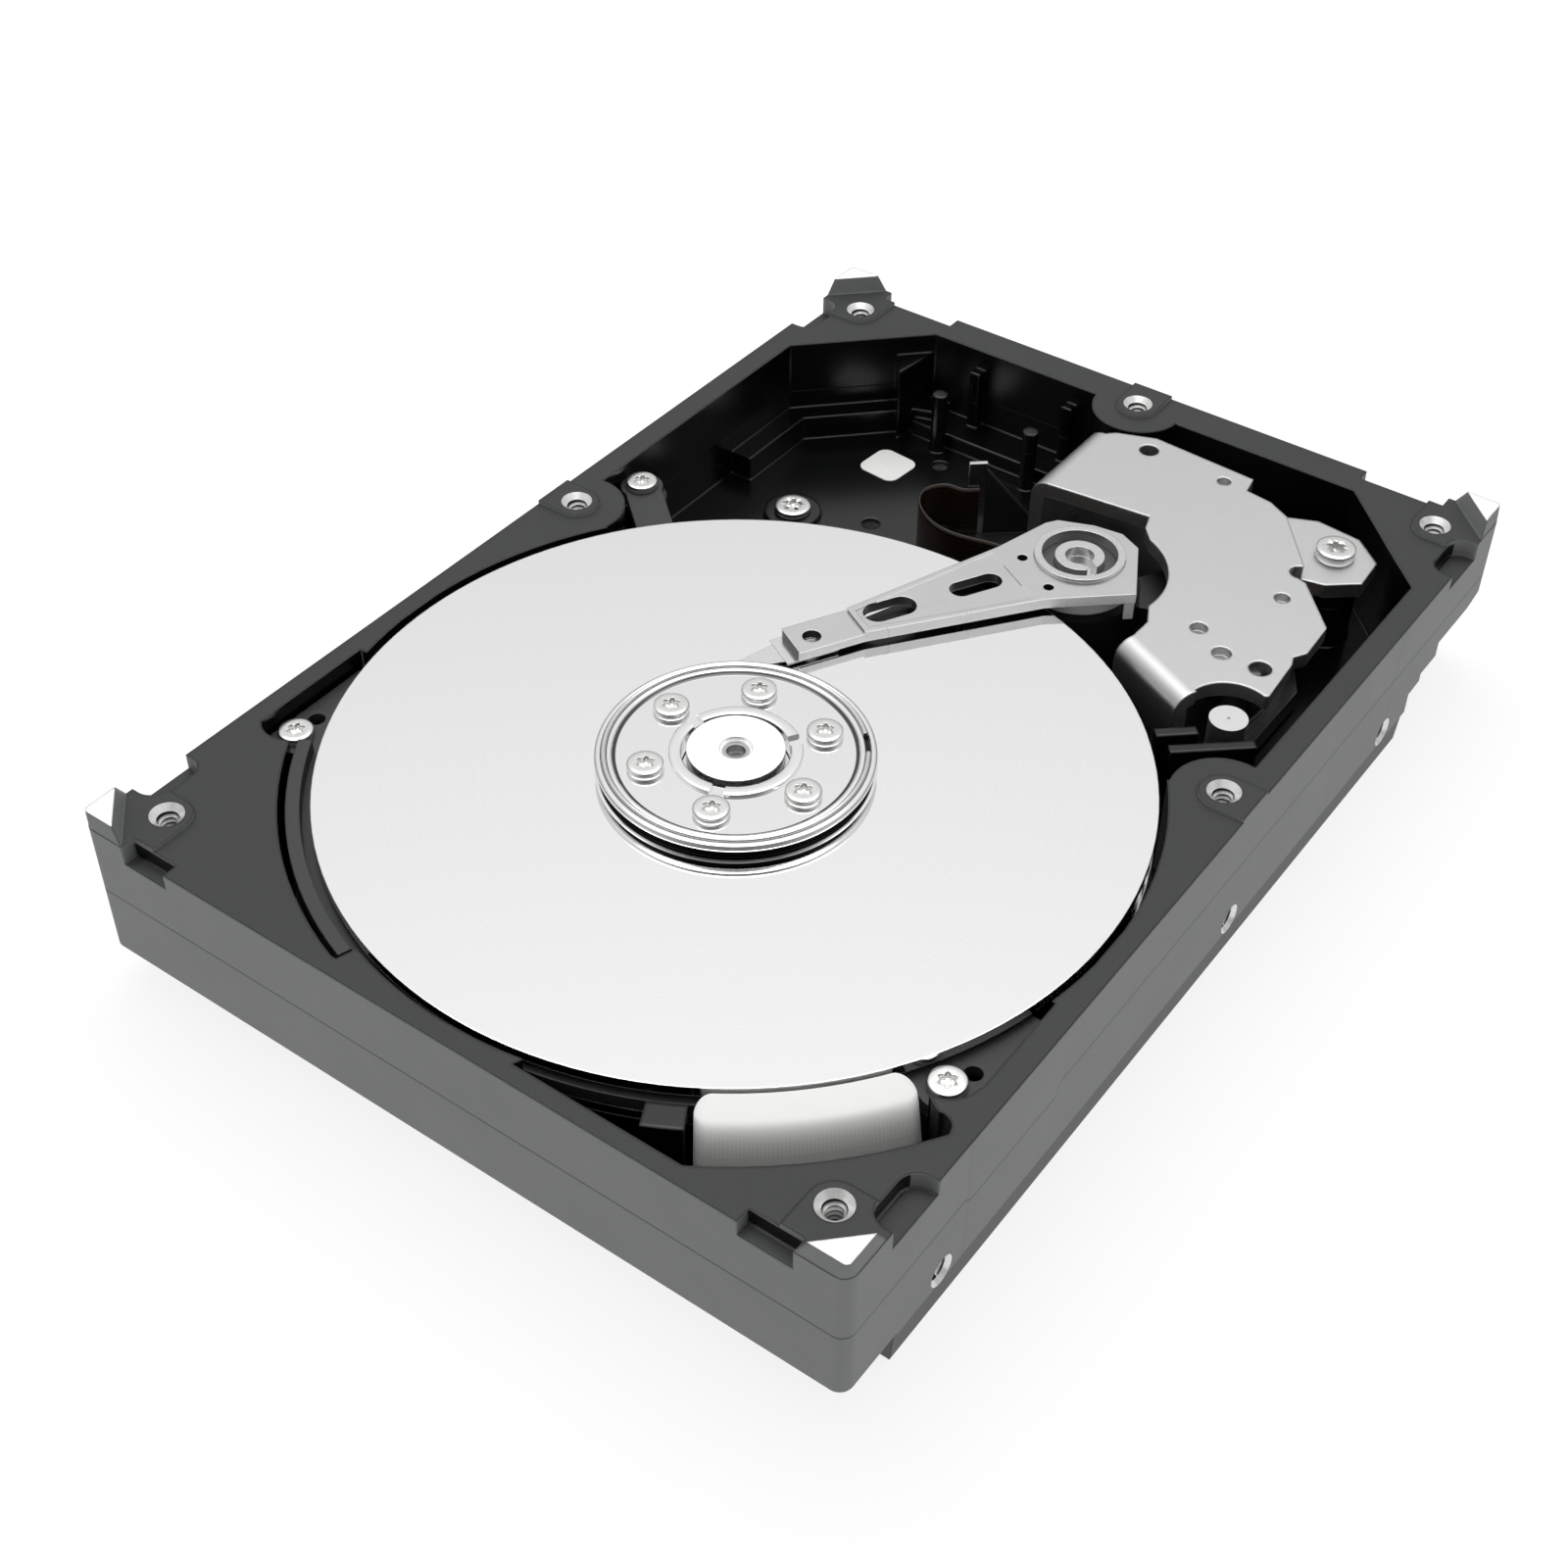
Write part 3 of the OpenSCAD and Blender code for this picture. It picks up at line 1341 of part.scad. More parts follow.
module controller_chip() {
    chip([-14, plug_back - 30], [14, 14, 1.2]);
}

module memory_chip() {
    chip([8, plug_back - 34], [8, 11, 1]);
}

module motor_driver_chip() {
    chip([10, board_front + 16], [8, 8, 0.9]);
}

// Sockets across the connector: middle and width of each, power first
sockets = [[-8.4, 23.2], [12.6, 12.6]];
socket_h = 4.4;
socket_depth = 6.6;
tongue_z = plug_z + plug_h / 2 - tongue_t / 2;
contact_pitch = 1.27;
contact_counts = [15, 7];

module sata_connector() {
    tongue_l = 6.2;
    tongue_in = 1.1;
    color("#17181a") translate([plug_x, plug_back, 0]) {
        difference() {
            translate([-plug_w / 2, 0, plug_z]) cube([plug_w, plug_d, plug_h]);
            for (s = sockets)
                translate([s[0] - s[1] / 2, plug_d - socket_depth, plug_z + (plug_h - socket_h) / 2])
                    cube([s[1], socket_depth + cut, socket_h]);
        }
        for (s = sockets) translate([s[0] - s[1] / 2 + tongue_in, plug_d - socket_depth - cut, tongue_z])
            cube([s[1] - 2 * tongue_in, tongue_l + cut, tongue_t]);
    }
}

module sata_contacts() {
    contact = [0.7, 5.4, 0.12];
    color("#c9a24a") translate([plug_x, plug_back + plug_d - socket_depth, tongue_z + tongue_t])
        for (k = [0, 1], i = [0:contact_counts[k] - 1]) {
            from_middle = (i - (contact_counts[k] - 1) / 2) * contact_pitch;
            translate([sockets[k][0] + from_middle - contact[0] / 2, 0, 0]) cube(contact);
        }
}

module board_screws() {
    color("#9fa1a2") board_places() translate([0, 0, board_bottom]) mirror([0, 0, 1])
        screw(screw_head_r, screw_head_h, screw_r, board_t + board_screw_len);
}

base_casting();
disk_damper();
damper_screws();
floor_screw();
recirculation_filter();
floor_label();
bearing_sleeve();
thrust_plate();
stator_core();
stator_windings();
pivot_shaft();
yoke_bottom_plate();
bottom_magnet();
yoke_top_plate();
top_magnet();
yoke_screw();
locating_pin();
inner_crash_stop();
outer_crash_stop();
flex_bracket();
flex_stiffener();
flex_connector();
flex_cable();
insulator_sheet();
circuit_board();
controller_chip();
memory_chip();
motor_driver_chip();
sata_connector();
sata_contacts();
board_screws();
rotor_hub();
spindle_shaft();
rotor_magnet();
lower_platter();
platter_spacer();
upper_platter();
disk_clamp();
clamp_screws();
balance_ring();
arm_block();
pivot_sleeve();
upper_pivot_bearing();
lower_pivot_bearing();
coil_fork();
voice_coil();
amplifier_board();
head_suspension(0);  // head_suspension_1
head_suspension(1);  // head_suspension_2
head_suspension(2);  // head_suspension_3
head_suspension(3);  // head_suspension_4
head_slider(0);  // head_slider_1
head_slider(1);  // head_slider_2
head_slider(2);  // head_slider_3
head_slider(3);  // head_slider_4
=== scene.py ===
import math

import bmesh
import bpy
from mathutils import Matrix, Vector


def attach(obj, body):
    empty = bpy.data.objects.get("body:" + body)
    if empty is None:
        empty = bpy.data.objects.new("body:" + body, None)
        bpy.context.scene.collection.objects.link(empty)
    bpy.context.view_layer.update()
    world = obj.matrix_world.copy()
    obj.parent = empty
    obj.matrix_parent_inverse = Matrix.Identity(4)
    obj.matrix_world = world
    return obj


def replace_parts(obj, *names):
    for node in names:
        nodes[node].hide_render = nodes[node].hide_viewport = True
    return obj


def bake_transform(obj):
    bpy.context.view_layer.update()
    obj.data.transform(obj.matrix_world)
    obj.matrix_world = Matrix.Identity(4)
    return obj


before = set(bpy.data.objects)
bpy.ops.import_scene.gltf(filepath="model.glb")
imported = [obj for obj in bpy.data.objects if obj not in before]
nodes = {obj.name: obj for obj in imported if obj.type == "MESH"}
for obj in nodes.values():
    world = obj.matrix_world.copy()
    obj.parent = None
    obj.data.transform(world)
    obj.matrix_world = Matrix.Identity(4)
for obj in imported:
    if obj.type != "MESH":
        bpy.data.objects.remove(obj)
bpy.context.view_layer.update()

# Housing: an aluminium die casting with a dark electrocoat, as-cast outside and glossier in the chamber.
# The four corner posts are milled bright after coating, and the die's parting line runs round the sides.
mm = 0.001


def linear(colour):
    parts = [int(colour[i:i + 2], 16) / 255 for i in (1, 3, 5)]
    return [c / 12.92 if c <= 0.04045 else ((c + 0.055) / 1.055) ** 2.4 for c in parts] + [1.0]


def add(tree, kind, inputs=None, **settings):
    node = tree.nodes.new(kind) if isinstance(kind, str) else kind
    for name, value in settings.items():
        setattr(node, name, value)
    for socket, value in (inputs or {}).items():
        if isinstance(value, bpy.types.NodeSocket):
            tree.links.new(value, node.inputs[socket])
        else:
            node.inputs[socket].default_value = value
    return node


def start_material(name):
    material = bpy.data.materials.new(name)
    material.use_nodes = True
    tree = material.node_tree
    return material, tree, tree.nodes["Principled BSDF"], add(tree, "ShaderNodeTexCoord").outputs["Object"]


def dress(material, *names):
    for name in names:
        nodes[name].data.materials.clear()
        nodes[name].data.materials.append(material)


# Electrocoat on a die casting: even dark grey with a fine grit and a slow mottle, and nearly black in the
# chamber.
# Painted shade darkens the faces that look up, such as the rim, and the rail lip. Edges are rounded by the
# coat, so that they catch a thin line of light.
# Where the look changes, in mm: the start and the end of each change.
chamber_x, chamber_y, recess_x = (48.8, 49.2), (71.6, 72.0), (48.05, 48.15)
rail_z, floor_z, rim_z, post_z = (4.5, 4.8), (7.8, 8.2), (22.2, 22.4), (25.1, 25.15)
# The die's parting line climbs in two steps along the sides: y of each step, and the heights in mm.
first_step_y, second_step_y = (-53, -52), (-36, -35)
parting_low, parting_high, first_rise = 13.0, 14.7, 0.8
# Upright die joints: y in mm, and how dark each shows.
die_joints = ((-52.5, 0.25), (45.0, 0.45))
coat, tree, shader, place = start_material("electrocoated_die_casting")
xyz = add(tree, "ShaderNodeSeparateXYZ", {0: place}).outputs
normal = add(tree, "ShaderNodeNewGeometry").outputs["Normal"]
facing = add(tree, "ShaderNodeSeparateXYZ", {0: normal}).outputs
mottle = add(tree, "ShaderNodeTexNoise", {"Vector": place, "Scale": 1000 / 7, "Detail": 4.0}).outputs["Fac"]
grit = add(tree, "ShaderNodeTexNoise", {
    "Vector": place, "Scale": 1000 / 0.35, "Detail": 2.0,
}).outputs["Fac"]
side_x = add(tree, "ShaderNodeMath", {0: xyz[0]}, operation="ABSOLUTE").outputs[0]
side_y = add(tree, "ShaderNodeMath", {0: xyz[1]}, operation="ABSOLUTE").outputs[0]
upward = add(tree, "ShaderNodeMapRange", {0: facing[2], 1: 0.5, 2: 0.8, 3: 0.0, 4: 1.0}).outputs[0]
within_x = add(tree, "ShaderNodeMapRange", {
    0: side_x, 1: chamber_x[0] * mm, 2: chamber_x[1] * mm, 3: 1.0, 4: 0.0,
}).outputs[0]
within_y = add(tree, "ShaderNodeMapRange", {
    0: side_y, 1: chamber_y[0] * mm, 2: chamber_y[1] * mm, 3: 1.0, 4: 0.0,
}).outputs[0]
below_rim = add(tree, "ShaderNodeMapRange", {
    0: xyz[2], 1: rim_z[0] * mm, 2: rim_z[1] * mm, 3: 1.0, 4: 0.0,
}).outputs[0]
above_floor = add(tree, "ShaderNodeMapRange", {
    0: xyz[2], 1: floor_z[0] * mm, 2: floor_z[1] * mm, 3: 0.0, 4: 1.0,
}).outputs[0]
inside = add(tree, "ShaderNodeMath", {0: within_x, 1: within_y}, operation="MULTIPLY").outputs[0]
inside = add(tree, "ShaderNodeMath", {0: inside, 1: below_rim}, operation="MULTIPLY").outputs[0]
inside = add(tree, "ShaderNodeMath", {0: inside, 1: above_floor}, operation="MULTIPLY").outputs[0]
# The rear recesses' walls stand as far in as the chamber's but face outward, so they keep the outer coat.
skin = add(tree, "ShaderNodeMapRange", {
    0: side_x, 1: recess_x[0] * mm, 2: recess_x[1] * mm, 3: 0.0, 4: 1.0,
}).outputs[0]
inward = add(tree, "ShaderNodeMath", {0: xyz[0], 1: facing[0]}, operation="MULTIPLY").outputs[0]
inward = add(tree, "ShaderNodeMapRange", {0: inward, 1: -0.02, 2: -0.01, 3: 0.0, 4: 1.0}).outputs[0]
skin = add(tree, "ShaderNodeMath", {0: skin, 1: inward}, operation="MULTIPLY").outputs[0]
skin = add(tree, "ShaderNodeMath", {0: 1.0, 1: skin}, operation="SUBTRACT").outputs[0]
inside = add(tree, "ShaderNodeMath", {0: inside, 1: skin}, operation="MULTIPLY").outputs[0]
milled = add(tree, "ShaderNodeMapRange", {
    0: xyz[2], 1: post_z[0] * mm, 2: post_z[1] * mm, 3: 0.0, 4: 1.0,
}).outputs[0]
outer = add(tree, "ShaderNodeMix", {0: mottle, 6: linear("#656866"), 7: linear("#6f7170")},
            data_type="RGBA").outputs[2]
# Painted shade: faces that look up, such as the rim, take this darker tone than the sides.
painted_top_shade = add(tree, "ShaderNodeMix", {0: mottle, 6: linear("#1e201f"), 7: linear("#272928")},
          data_type="RGBA").outputs[2]
tone = add(tree, "ShaderNodeMix", {0: upward, 6: outer, 7: painted_top_shade}, data_type="RGBA").outputs[2]
tone = add(tree, "ShaderNodeMix", {0: inside, 6: tone, 7: linear("#050606")}, data_type="RGBA").outputs[2]
tone = add(tree, "ShaderNodeMix", {0: milled, 6: tone, 7: linear("#f0f0ee")}, data_type="RGBA").outputs[2]
dull = add(tree, "ShaderNodeMapRange", {0: inside, 3: 0.5, 4: 0.16}).outputs[0]
dull = add(tree, "ShaderNodeMath", {0: grit, 1: 0.12, 2: dull}, operation="MULTIPLY_ADD").outputs[0]
rounded = add(tree, "ShaderNodeBevel", {"Radius": 0.55 * mm}, samples=6).outputs[0]
parting = add(tree, "ShaderNodeMapRange", {
    0: xyz[1], 1: second_step_y[0] * mm, 2: second_step_y[1] * mm,
    3: parting_low * mm, 4: parting_high * mm,
}).outputs[0]
jog = add(tree, "ShaderNodeMapRange", {
    0: xyz[1], 1: first_step_y[0] * mm, 2: first_step_y[1] * mm, 3: first_rise * mm, 4: 0.0,
}).outputs[0]
parting = add(tree, "ShaderNodeMath", {0: parting, 1: jog}, operation="ADD").outputs[0]
above_line = add(tree, "ShaderNodeMath", {0: xyz[2], 1: parting}, operation="SUBTRACT").outputs[0]
step = add(tree, "ShaderNodeMapRange", {
    0: above_line, 1: -0.1 * mm, 2: 0.1 * mm, 3: 0.0, 4: 1.0,
}).outputs[0]
seam = add(tree, "ShaderNodeMath", {0: above_line}, operation="ABSOLUTE").outputs[0]
seam = add(tree, "ShaderNodeMapRange", {0: seam, 1: 0.06 * mm, 2: 0.18 * mm, 3: 0.9, 4: 0.0}).outputs[0]
for joint_y, depth in die_joints:
    joint = add(tree, "ShaderNodeMath", {0: xyz[1], 1: joint_y * mm}, operation="SUBTRACT").outputs[0]
    joint = add(tree, "ShaderNodeMath", {0: joint}, operation="ABSOLUTE").outputs[0]
    joint = add(tree, "ShaderNodeMapRange", {
        0: joint, 1: 0.02 * mm, 2: 0.12 * mm, 3: depth, 4: 0.0,
    }).outputs[0]
    seam = add(tree, "ShaderNodeMath", {0: seam, 1: joint}, operation="MAXIMUM").outputs[0]
outside = add(tree, "ShaderNodeMath", {0: upward, 1: inside}, operation="MAXIMUM").outputs[0]
outside = add(tree, "ShaderNodeMath", {0: 1.0, 1: outside}, operation="SUBTRACT").outputs[0]
seam = add(tree, "ShaderNodeMath", {0: seam, 1: outside}, operation="MULTIPLY").outputs[0]
tone = add(tree, "ShaderNodeMix", {0: seam, 6: tone, 7: linear("#202221")}, data_type="RGBA").outputs[2]
# Painted shade: the rail lip below rail_z is darkened as if it were unlit.
painted_lip_shade = add(tree, "ShaderNodeMapRange", {
    0: xyz[2], 1: rail_z[0] * mm, 2: rail_z[1] * mm, 3: 1.0, 4: 0.0,
}).outputs[0]
tone = add(tree, "ShaderNodeMix", {0: painted_lip_shade, 6: tone, 7: linear("#414342")}, data_type="RGBA").outputs[2]
relief = add(tree, "ShaderNodeBump", {
    "Strength": 0.12, "Distance": 0.05 * mm, "Height": grit, "Normal": rounded,
}).outputs[0]
relief = add(tree, "ShaderNodeBump", {
    "Strength": 0.6, "Distance": 0.1 * mm, "Height": step, "Normal": relief,
}).outputs[0]
add(tree, shader, {"Base Color": tone, "Roughness": dull, "Metallic": milled, "Normal": relief, "IOR": 1.5})
dress(coat, "base_casting")

# Tapped holes: bright countersinks and threads, cut through the coat into the bare casting after painting.
# Seven take the cover's screws and ten the bay's; each is a cone and a helical thread lining the cast bore.
corner_x, corner_y, cover_seat_z = 44.65, 66.9, 23
cover_holes = [(x * corner_x, y * corner_y) for x in (-1, 1) for y in (-1, 1)]
cover_holes += [(-46.8, 5.5), (46.8, 5.5), (0, 69.1)]
side_hole_x, side_hole_z, side_hole_y = 50.8, 6.35, (45.0, 4.0, -56.6)
base_hole_x, base_hole_y = 47.625, (32.22, -12.23)
thread_pitch, thread_depth, lining = 0.7, 0.35, 0.02


def make_piece(name, bm, material, body, inward=False):
    bmesh.ops.remove_doubles(bm, verts=bm.verts, dist=0.002 * mm)
    bmesh.ops.recalc_face_normals(bm, faces=bm.faces)
    if inward:
        bmesh.ops.reverse_faces(bm, faces=bm.faces)
    mesh = bpy.data.meshes.new(name)
    bm.to_mesh(mesh)
    bm.free()
    mesh.materials.append(material)
    mesh.shade_smooth()
    mesh.set_sharp_from_angle(angle=math.radians(35))
    piece = bpy.data.objects.new(name, mesh)
    bpy.context.scene.collection.objects.link(piece)
    if body:
        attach(piece, body)
    return piece


def turn(bm, profile, steps, rise=0.0):
    verts = [bm.verts.new((r * mm, 0, z * mm)) for r, z in profile]
    edges = [bm.edges.new(pair) for pair in zip(verts, verts[1:])]
    bmesh.ops.spin(
        bm, geom=verts + edges, cent=(0, 0, 0), axis=(0, 0, 1), dvec=(0, 0, rise * mm / steps),
        angle=math.radians(360), steps=steps, use_merge=rise == 0)


def line_hole(bm, place, mouth_r, bore_r, depth):
    sink = mouth_r - bore_r
    hole = bmesh.new()
    turn(hole, [(mouth_r - lining, 0.0), (bore_r - lining, -sink)], steps=32)
    turns = int((depth - sink) / thread_pitch) - 1
    thread = []
    for i in range(turns):
        top = -sink - i * thread_pitch
        thread += [(bore_r - lining, top), (bore_r - thread_depth, top - 0.5 * thread_pitch)]
    turn(hole, thread, steps=32, rise=-thread_pitch)
    # The thread roots are marked for painted shade in the lining's colour.
    root = hole.verts.layers.float.new("root")
    root_r = (bore_r - 0.1) * mm
    for v in hole.verts:
        v[root] = 1.0 if v.co.z < -1.01 * sink * mm and v.co.xy.length > root_r else 0.0
    bmesh.ops.transform(hole, matrix=place, verts=hole.verts)
    lined = bpy.data.meshes.new("lined")
    hole.to_mesh(lined)
    hole.free()
    bm.from_mesh(lined)
    bpy.data.meshes.remove(lined)


# Bare cut aluminium: bright, with fine turning marks round each hole, and painted shade in the thread roots.
cut_metal, tree, shader, place = start_material("bare_cut_aluminium")
marks = add(tree, "ShaderNodeTexNoise", {
    "Vector": place, "Scale": 1000 / 0.3, "Detail": 3.0,
}).outputs["Fac"]
tone = add(tree, "ShaderNodeMix", {0: marks, 6: linear("#d8d9d8"), 7: linear("#f4f4f2")},
           data_type="RGBA").outputs[2]
root = add(tree, "ShaderNodeAttribute", attribute_name="root").outputs["Fac"]
root = add(tree, "ShaderNodeMapRange", {0: root, 1: 0.25, 2: 0.9, 3: 0.0, 4: 1.0}).outputs[0]
tone = add(tree, "ShaderNodeMix", {0: root, 6: tone, 7: linear("#161616")}, data_type="RGBA").outputs[2]
dull = add(tree, "ShaderNodeMapRange", {0: marks, 3: 0.26, 4: 0.36}).outputs[0]
add(tree, shader, {"Base Color": tone, "Roughness": dull, "Metallic": 0.6})

bm = bmesh.new()
for x, y in cover_holes:
    line_hole(bm, Matrix.Translation((x * mm, y * mm, cover_seat_z * mm)), mouth_r=2.0, bore_r=1.3, depth=8)
make_piece("cover_hole_threads", bm, cut_metal, "base", inward=True)
bm = bmesh.new()
for side in (-1, 1):
    for y in side_hole_y:
        tilt = Matrix.Rotation(side * math.pi / 2, 4, "Y")
        mouth = Matrix.Translation((side * side_hole_x * mm, y * mm, side_hole_z * mm))
        line_hole(bm, mouth @ tilt, mouth_r=1.9, bore_r=1.4, depth=5)
make_piece("side_hole_threads", bm, cut_metal, "base", inward=True)
bm = bmesh.new()
for side in (-1, 1):
    for y in base_hole_y:
        tilt = Matrix.Rotation(math.pi, 4, "X")
        mouth = Matrix.Translation((side * base_hole_x * mm, y * mm, 0))
        line_hole(bm, mouth @ tilt, mouth_r=1.9, bore_r=1.4, depth=6)
make_piece("base_hole_threads", bm, cut_metal, "base", inward=True)

# Disk damper: a flat moulded ring of black plastic between the platters, which calms the air.
# Three lugs are screwed to bosses of the housing. Other small mouldings share its finish.


def finish(name, dark, light, grain, rough, metal=0.0, stretch=(1, 1, 1), edge=0.15, depth=0.01):
    material, tree, shader, place = start_material(name)
    spread = add(tree, "ShaderNodeMapping", {"Vector": place, "Scale": stretch}).outputs[0]
    noise = add(tree, "ShaderNodeTexNoise", {
        "Vector": spread, "Scale": 1000 / grain, "Detail": 3.0,
    }).outputs["Fac"]
    tone = add(tree, "ShaderNodeMix", {0: noise, 6: linear(dark), 7: linear(light)},
               data_type="RGBA").outputs[2]
    dull = add(tree, "ShaderNodeMapRange", {0: noise, 3: rough[0], 4: rough[1]}).outputs[0]
    rounded = add(tree, "ShaderNodeBevel", {"Radius": edge * mm}, samples=6).outputs[0]
    relief = add(tree, "ShaderNodeBump", {
        "Strength": 0.4, "Distance": depth * mm, "Height": noise, "Normal": rounded,
    }).outputs[0]
    add(tree, shader, {"Base Color": tone, "Roughness": dull, "Metallic": metal, "Normal": relief})
    return material


# Moulded black plastic: a fine spark-eroded grain and a soft sheen.
moulding = finish("moulded_black_plastic", "#131414", "#1c1d1d", 0.5, (0.35, 0.5))
# The damper's plastic: the same grain in a lighter, greyer black.
dress(finish("moulded_damper_plastic", "#242525", "#2d2e2e", 0.5, (0.4, 0.55), edge=0.25), "disk_damper")

# Chamber screws: cold-headed steel with bright nickel plate, a low round head and a six-lobe socket.
# Three hold the damper and one larger one stands alone on the floor.


def lobed_screw(bm, at, seat, head_r, head_h, shank_r, length, down=False):
    # Rings from the socket's floor to the shank's end: radius, height and depth of the six lobes.
    socket = 0.42 * head_r
    rings = [
        (0.82 * socket, 0.25 * head_h, 0.2), (socket, head_h - 0.07, 0.2), (1.1 * socket, head_h, 0.17),
        (1.6 * socket, head_h, 0.0), (0.86 * head_r, head_h, 0.0), (0.94 * head_r, head_h - 0.05, 0.0),
        (0.985 * head_r, head_h - 0.14, 0.0), (head_r, head_h - 0.28, 0.0), (head_r, 0.12, 0.0),
        (0.97 * head_r, 0.0, 0.0), (shank_r, 0.0, 0.0), (shank_r, -length, 0.0),
    ]
    made = bmesh.ops.create_circle(bm, cap_ends=True, segments=48, radius=1.0)["verts"]
    edges = [e for e in {e for v in made for e in v.link_edges} if len(e.link_faces) == 1]
    ring = made
    for i, (radius, height, lobe) in enumerate(rings):
        if i:
            out = bmesh.ops.extrude_edge_only(bm, edges=edges)["geom"]
            ring = [g for g in out if isinstance(g, bmesh.types.BMVert)]
            edges = [g for g in out if isinstance(g, bmesh.types.BMEdge)]
            edges = [e for e in edges if all(v in ring for v in e.verts)]
            made = made + ring
        for v in ring:
            angle = math.atan2(v.co.y, v.co.x)
            reach = radius * mm * (1 + lobe * math.cos(6 * angle))
            v.co = (reach * math.cos(angle), reach * math.sin(angle), height * mm)
    bmesh.ops.edgeloop_fill(bm, edges=edges)
    place = Matrix.Translation((at[0] * mm, at[1] * mm, seat * mm))
    if down:
        place = place @ Matrix.Rotation(math.pi, 4, "X")
    bmesh.ops.transform(bm, matrix=place, verts=made)


# Nickel-plated screw steel: bright and a little soft, so that heads show shaded edges and dark sockets.
screw_steel = finish("nickel_plated_screw_steel", "#dadbda", "#e6e6e4", 0.3, (0.2, 0.28), metal=1.0,
                     edge=0.06, depth=0.001)
bm = bmesh.new()
damper_screw_spots = ((-45.47, -46.81), (44.03, -46.54), (-44.91, 16.41))
for x, y in damper_screw_spots:
    lobed_screw(bm, (x, y), seat=20.115, head_r=2.1, head_h=0.95, shank_r=0.95, length=5.9)
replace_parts(make_piece("damper_screw_set", bm, screw_steel, "base"), "damper_screws")
bm = bmesh.new()
lobed_screw(bm, (-34.4, 36.17), seat=9.5, head_r=2.55, head_h=0.95, shank_r=0.95, length=2.9)
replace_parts(make_piece("chamber_floor_screw", bm, screw_steel, "base"), "floor_screw")

# Recirculation filter: a soft pad of fibre in a woven plastic mesh, welded along its ends.
# It stands on edge in a pocket beside the platters, its top leaning in against the platter's edge.
hub_at = Vector((0.0, -22.63, 0.0))
pad_from, pad_span = math.radians(-58), math.radians(25.5)
pad_mid_r, pad_half, pad_lean = 52.15, 2.5, 2.0
pad_low, pad_high = 8.5, 22.5
pad_length, pad_girth, pad_end_r = 23.2, 40, 1.8
# How far the ends stay clear of the pocket and dip, and how square the pad's section is.
end_room, end_dip, top_square, face_square = 0.008, 0.1, 0.3, 0.25
cloth_pitch = 0.4
bm = bmesh.new()
bmesh.ops.create_grid(bm, x_segments=72, y_segments=64, size=0.5)
weave_uv = bm.loops.layers.uv.new("weave")
spot = {v: (v.co.x + 0.5, v.co.y + 0.5) for v in bm.verts}


def power(value, exponent):
    return math.copysign(abs(value) ** exponent, value)


for v, (step, around) in spot.items():
    along = 0.5 - 0.5 * math.cos(math.pi * step)
    turned = pad_from + pad_span * (end_room + (1 - 2 * end_room) * along)
    to_end = min(along, 1 - along) * pad_length / pad_end_r
    swell = math.sqrt(1 - (1 - min(to_end, 1)) ** 2)
    b = 2 * math.pi * around
    up = (1 - end_dip + end_dip * swell) * power(math.sin(b), top_square)
    r = pad_mid_r - pad_lean * up + pad_half * swell * power(math.cos(b), face_square)
    z = 0.5 * (pad_high + pad_low) + 0.5 * (pad_high - pad_low) * up
    v.co = (hub_at + Vector((r * math.cos(turned), r * math.sin(turned), z))) * mm
for face in bm.faces:
    for loop in face.loops:
        step, around = spot[loop.vert]
        loop[weave_uv].uv = ((0.5 - 0.5 * math.cos(math.pi * step)) * pad_length, around * pad_girth)
# Woven plastic mesh over fibre: pale, faintly green-grey threads 0.4 mm apart, with a painted highlight
# whitening it towards the top edge.
mesh_cloth, tree, shader, place = start_material("woven_filter_mesh")
unrolled = add(tree, "ShaderNodeUVMap", uv_map="weave").outputs[0]
uv = add(tree, "ShaderNodeSeparateXYZ", {0: unrolled}).outputs
warp = add(tree, "ShaderNodeMath", {0: uv[0], 1: 2 * math.pi / cloth_pitch},
           operation="MULTIPLY").outputs[0]
warp = add(tree, "ShaderNodeMath", {0: warp}, operation="SINE").outputs[0]
weft = add(tree, "ShaderNodeMath", {0: uv[1], 1: 2 * math.pi / cloth_pitch},
           operation="MULTIPLY").outputs[0]
weft = add(tree, "ShaderNodeMath", {0: weft}, operation="SINE").outputs[0]
cloth = add(tree, "ShaderNodeMath", {0: warp, 1: weft}, operation="MAXIMUM").outputs[0]
cloth = add(tree, "ShaderNodeMapRange", {0: cloth, 1: -0.6, 2: 1.0, 3: 0.0, 4: 1.0}).outputs[0]
fibre = add(tree, "ShaderNodeTexNoise", {
    "Vector": place, "Scale": 1000 / 1.6, "Detail": 5.0,
}).outputs["Fac"]
gap = add(tree, "ShaderNodeMix", {0: fibre, 6: linear("#dcdfda"), 7: linear("#e4e7e2")},
          data_type="RGBA").outputs[2]
tone = add(tree, "ShaderNodeMix", {0: cloth, 6: gap, 7: linear("#eef0ec")}, data_type="RGBA").outputs[2]
height = add(tree, "ShaderNodeSeparateXYZ", {0: place}).outputs[2]
# Painted highlight: the pad is coloured whiter towards its top, where light falls on it.
painted_top_light = add(tree, "ShaderNodeMapRange", {0: height, 1: 20.6 * mm, 2: 22.0 * mm, 3: 0.0, 4: 1.0}).outputs[0]
tone = add(tree, "ShaderNodeMix", {0: painted_top_light, 6: tone, 7: linear("#fafaf8")}, data_type="RGBA").outputs[2]
relief = add(tree, "ShaderNodeBump", {"Strength": 0.15, "Distance": 0.03 * mm, "Height": cloth}).outputs[0]
add(tree, shader, {"Base Color": tone, "Roughness": 0.8, "Normal": relief, "Subsurface Weight": 0.15,
                   "Subsurface Radius": (1.0, 1.0, 1.0), "Subsurface Scale": 1.2 * mm})
pad = make_piece("filter_pad", bm, mesh_cloth, "base")
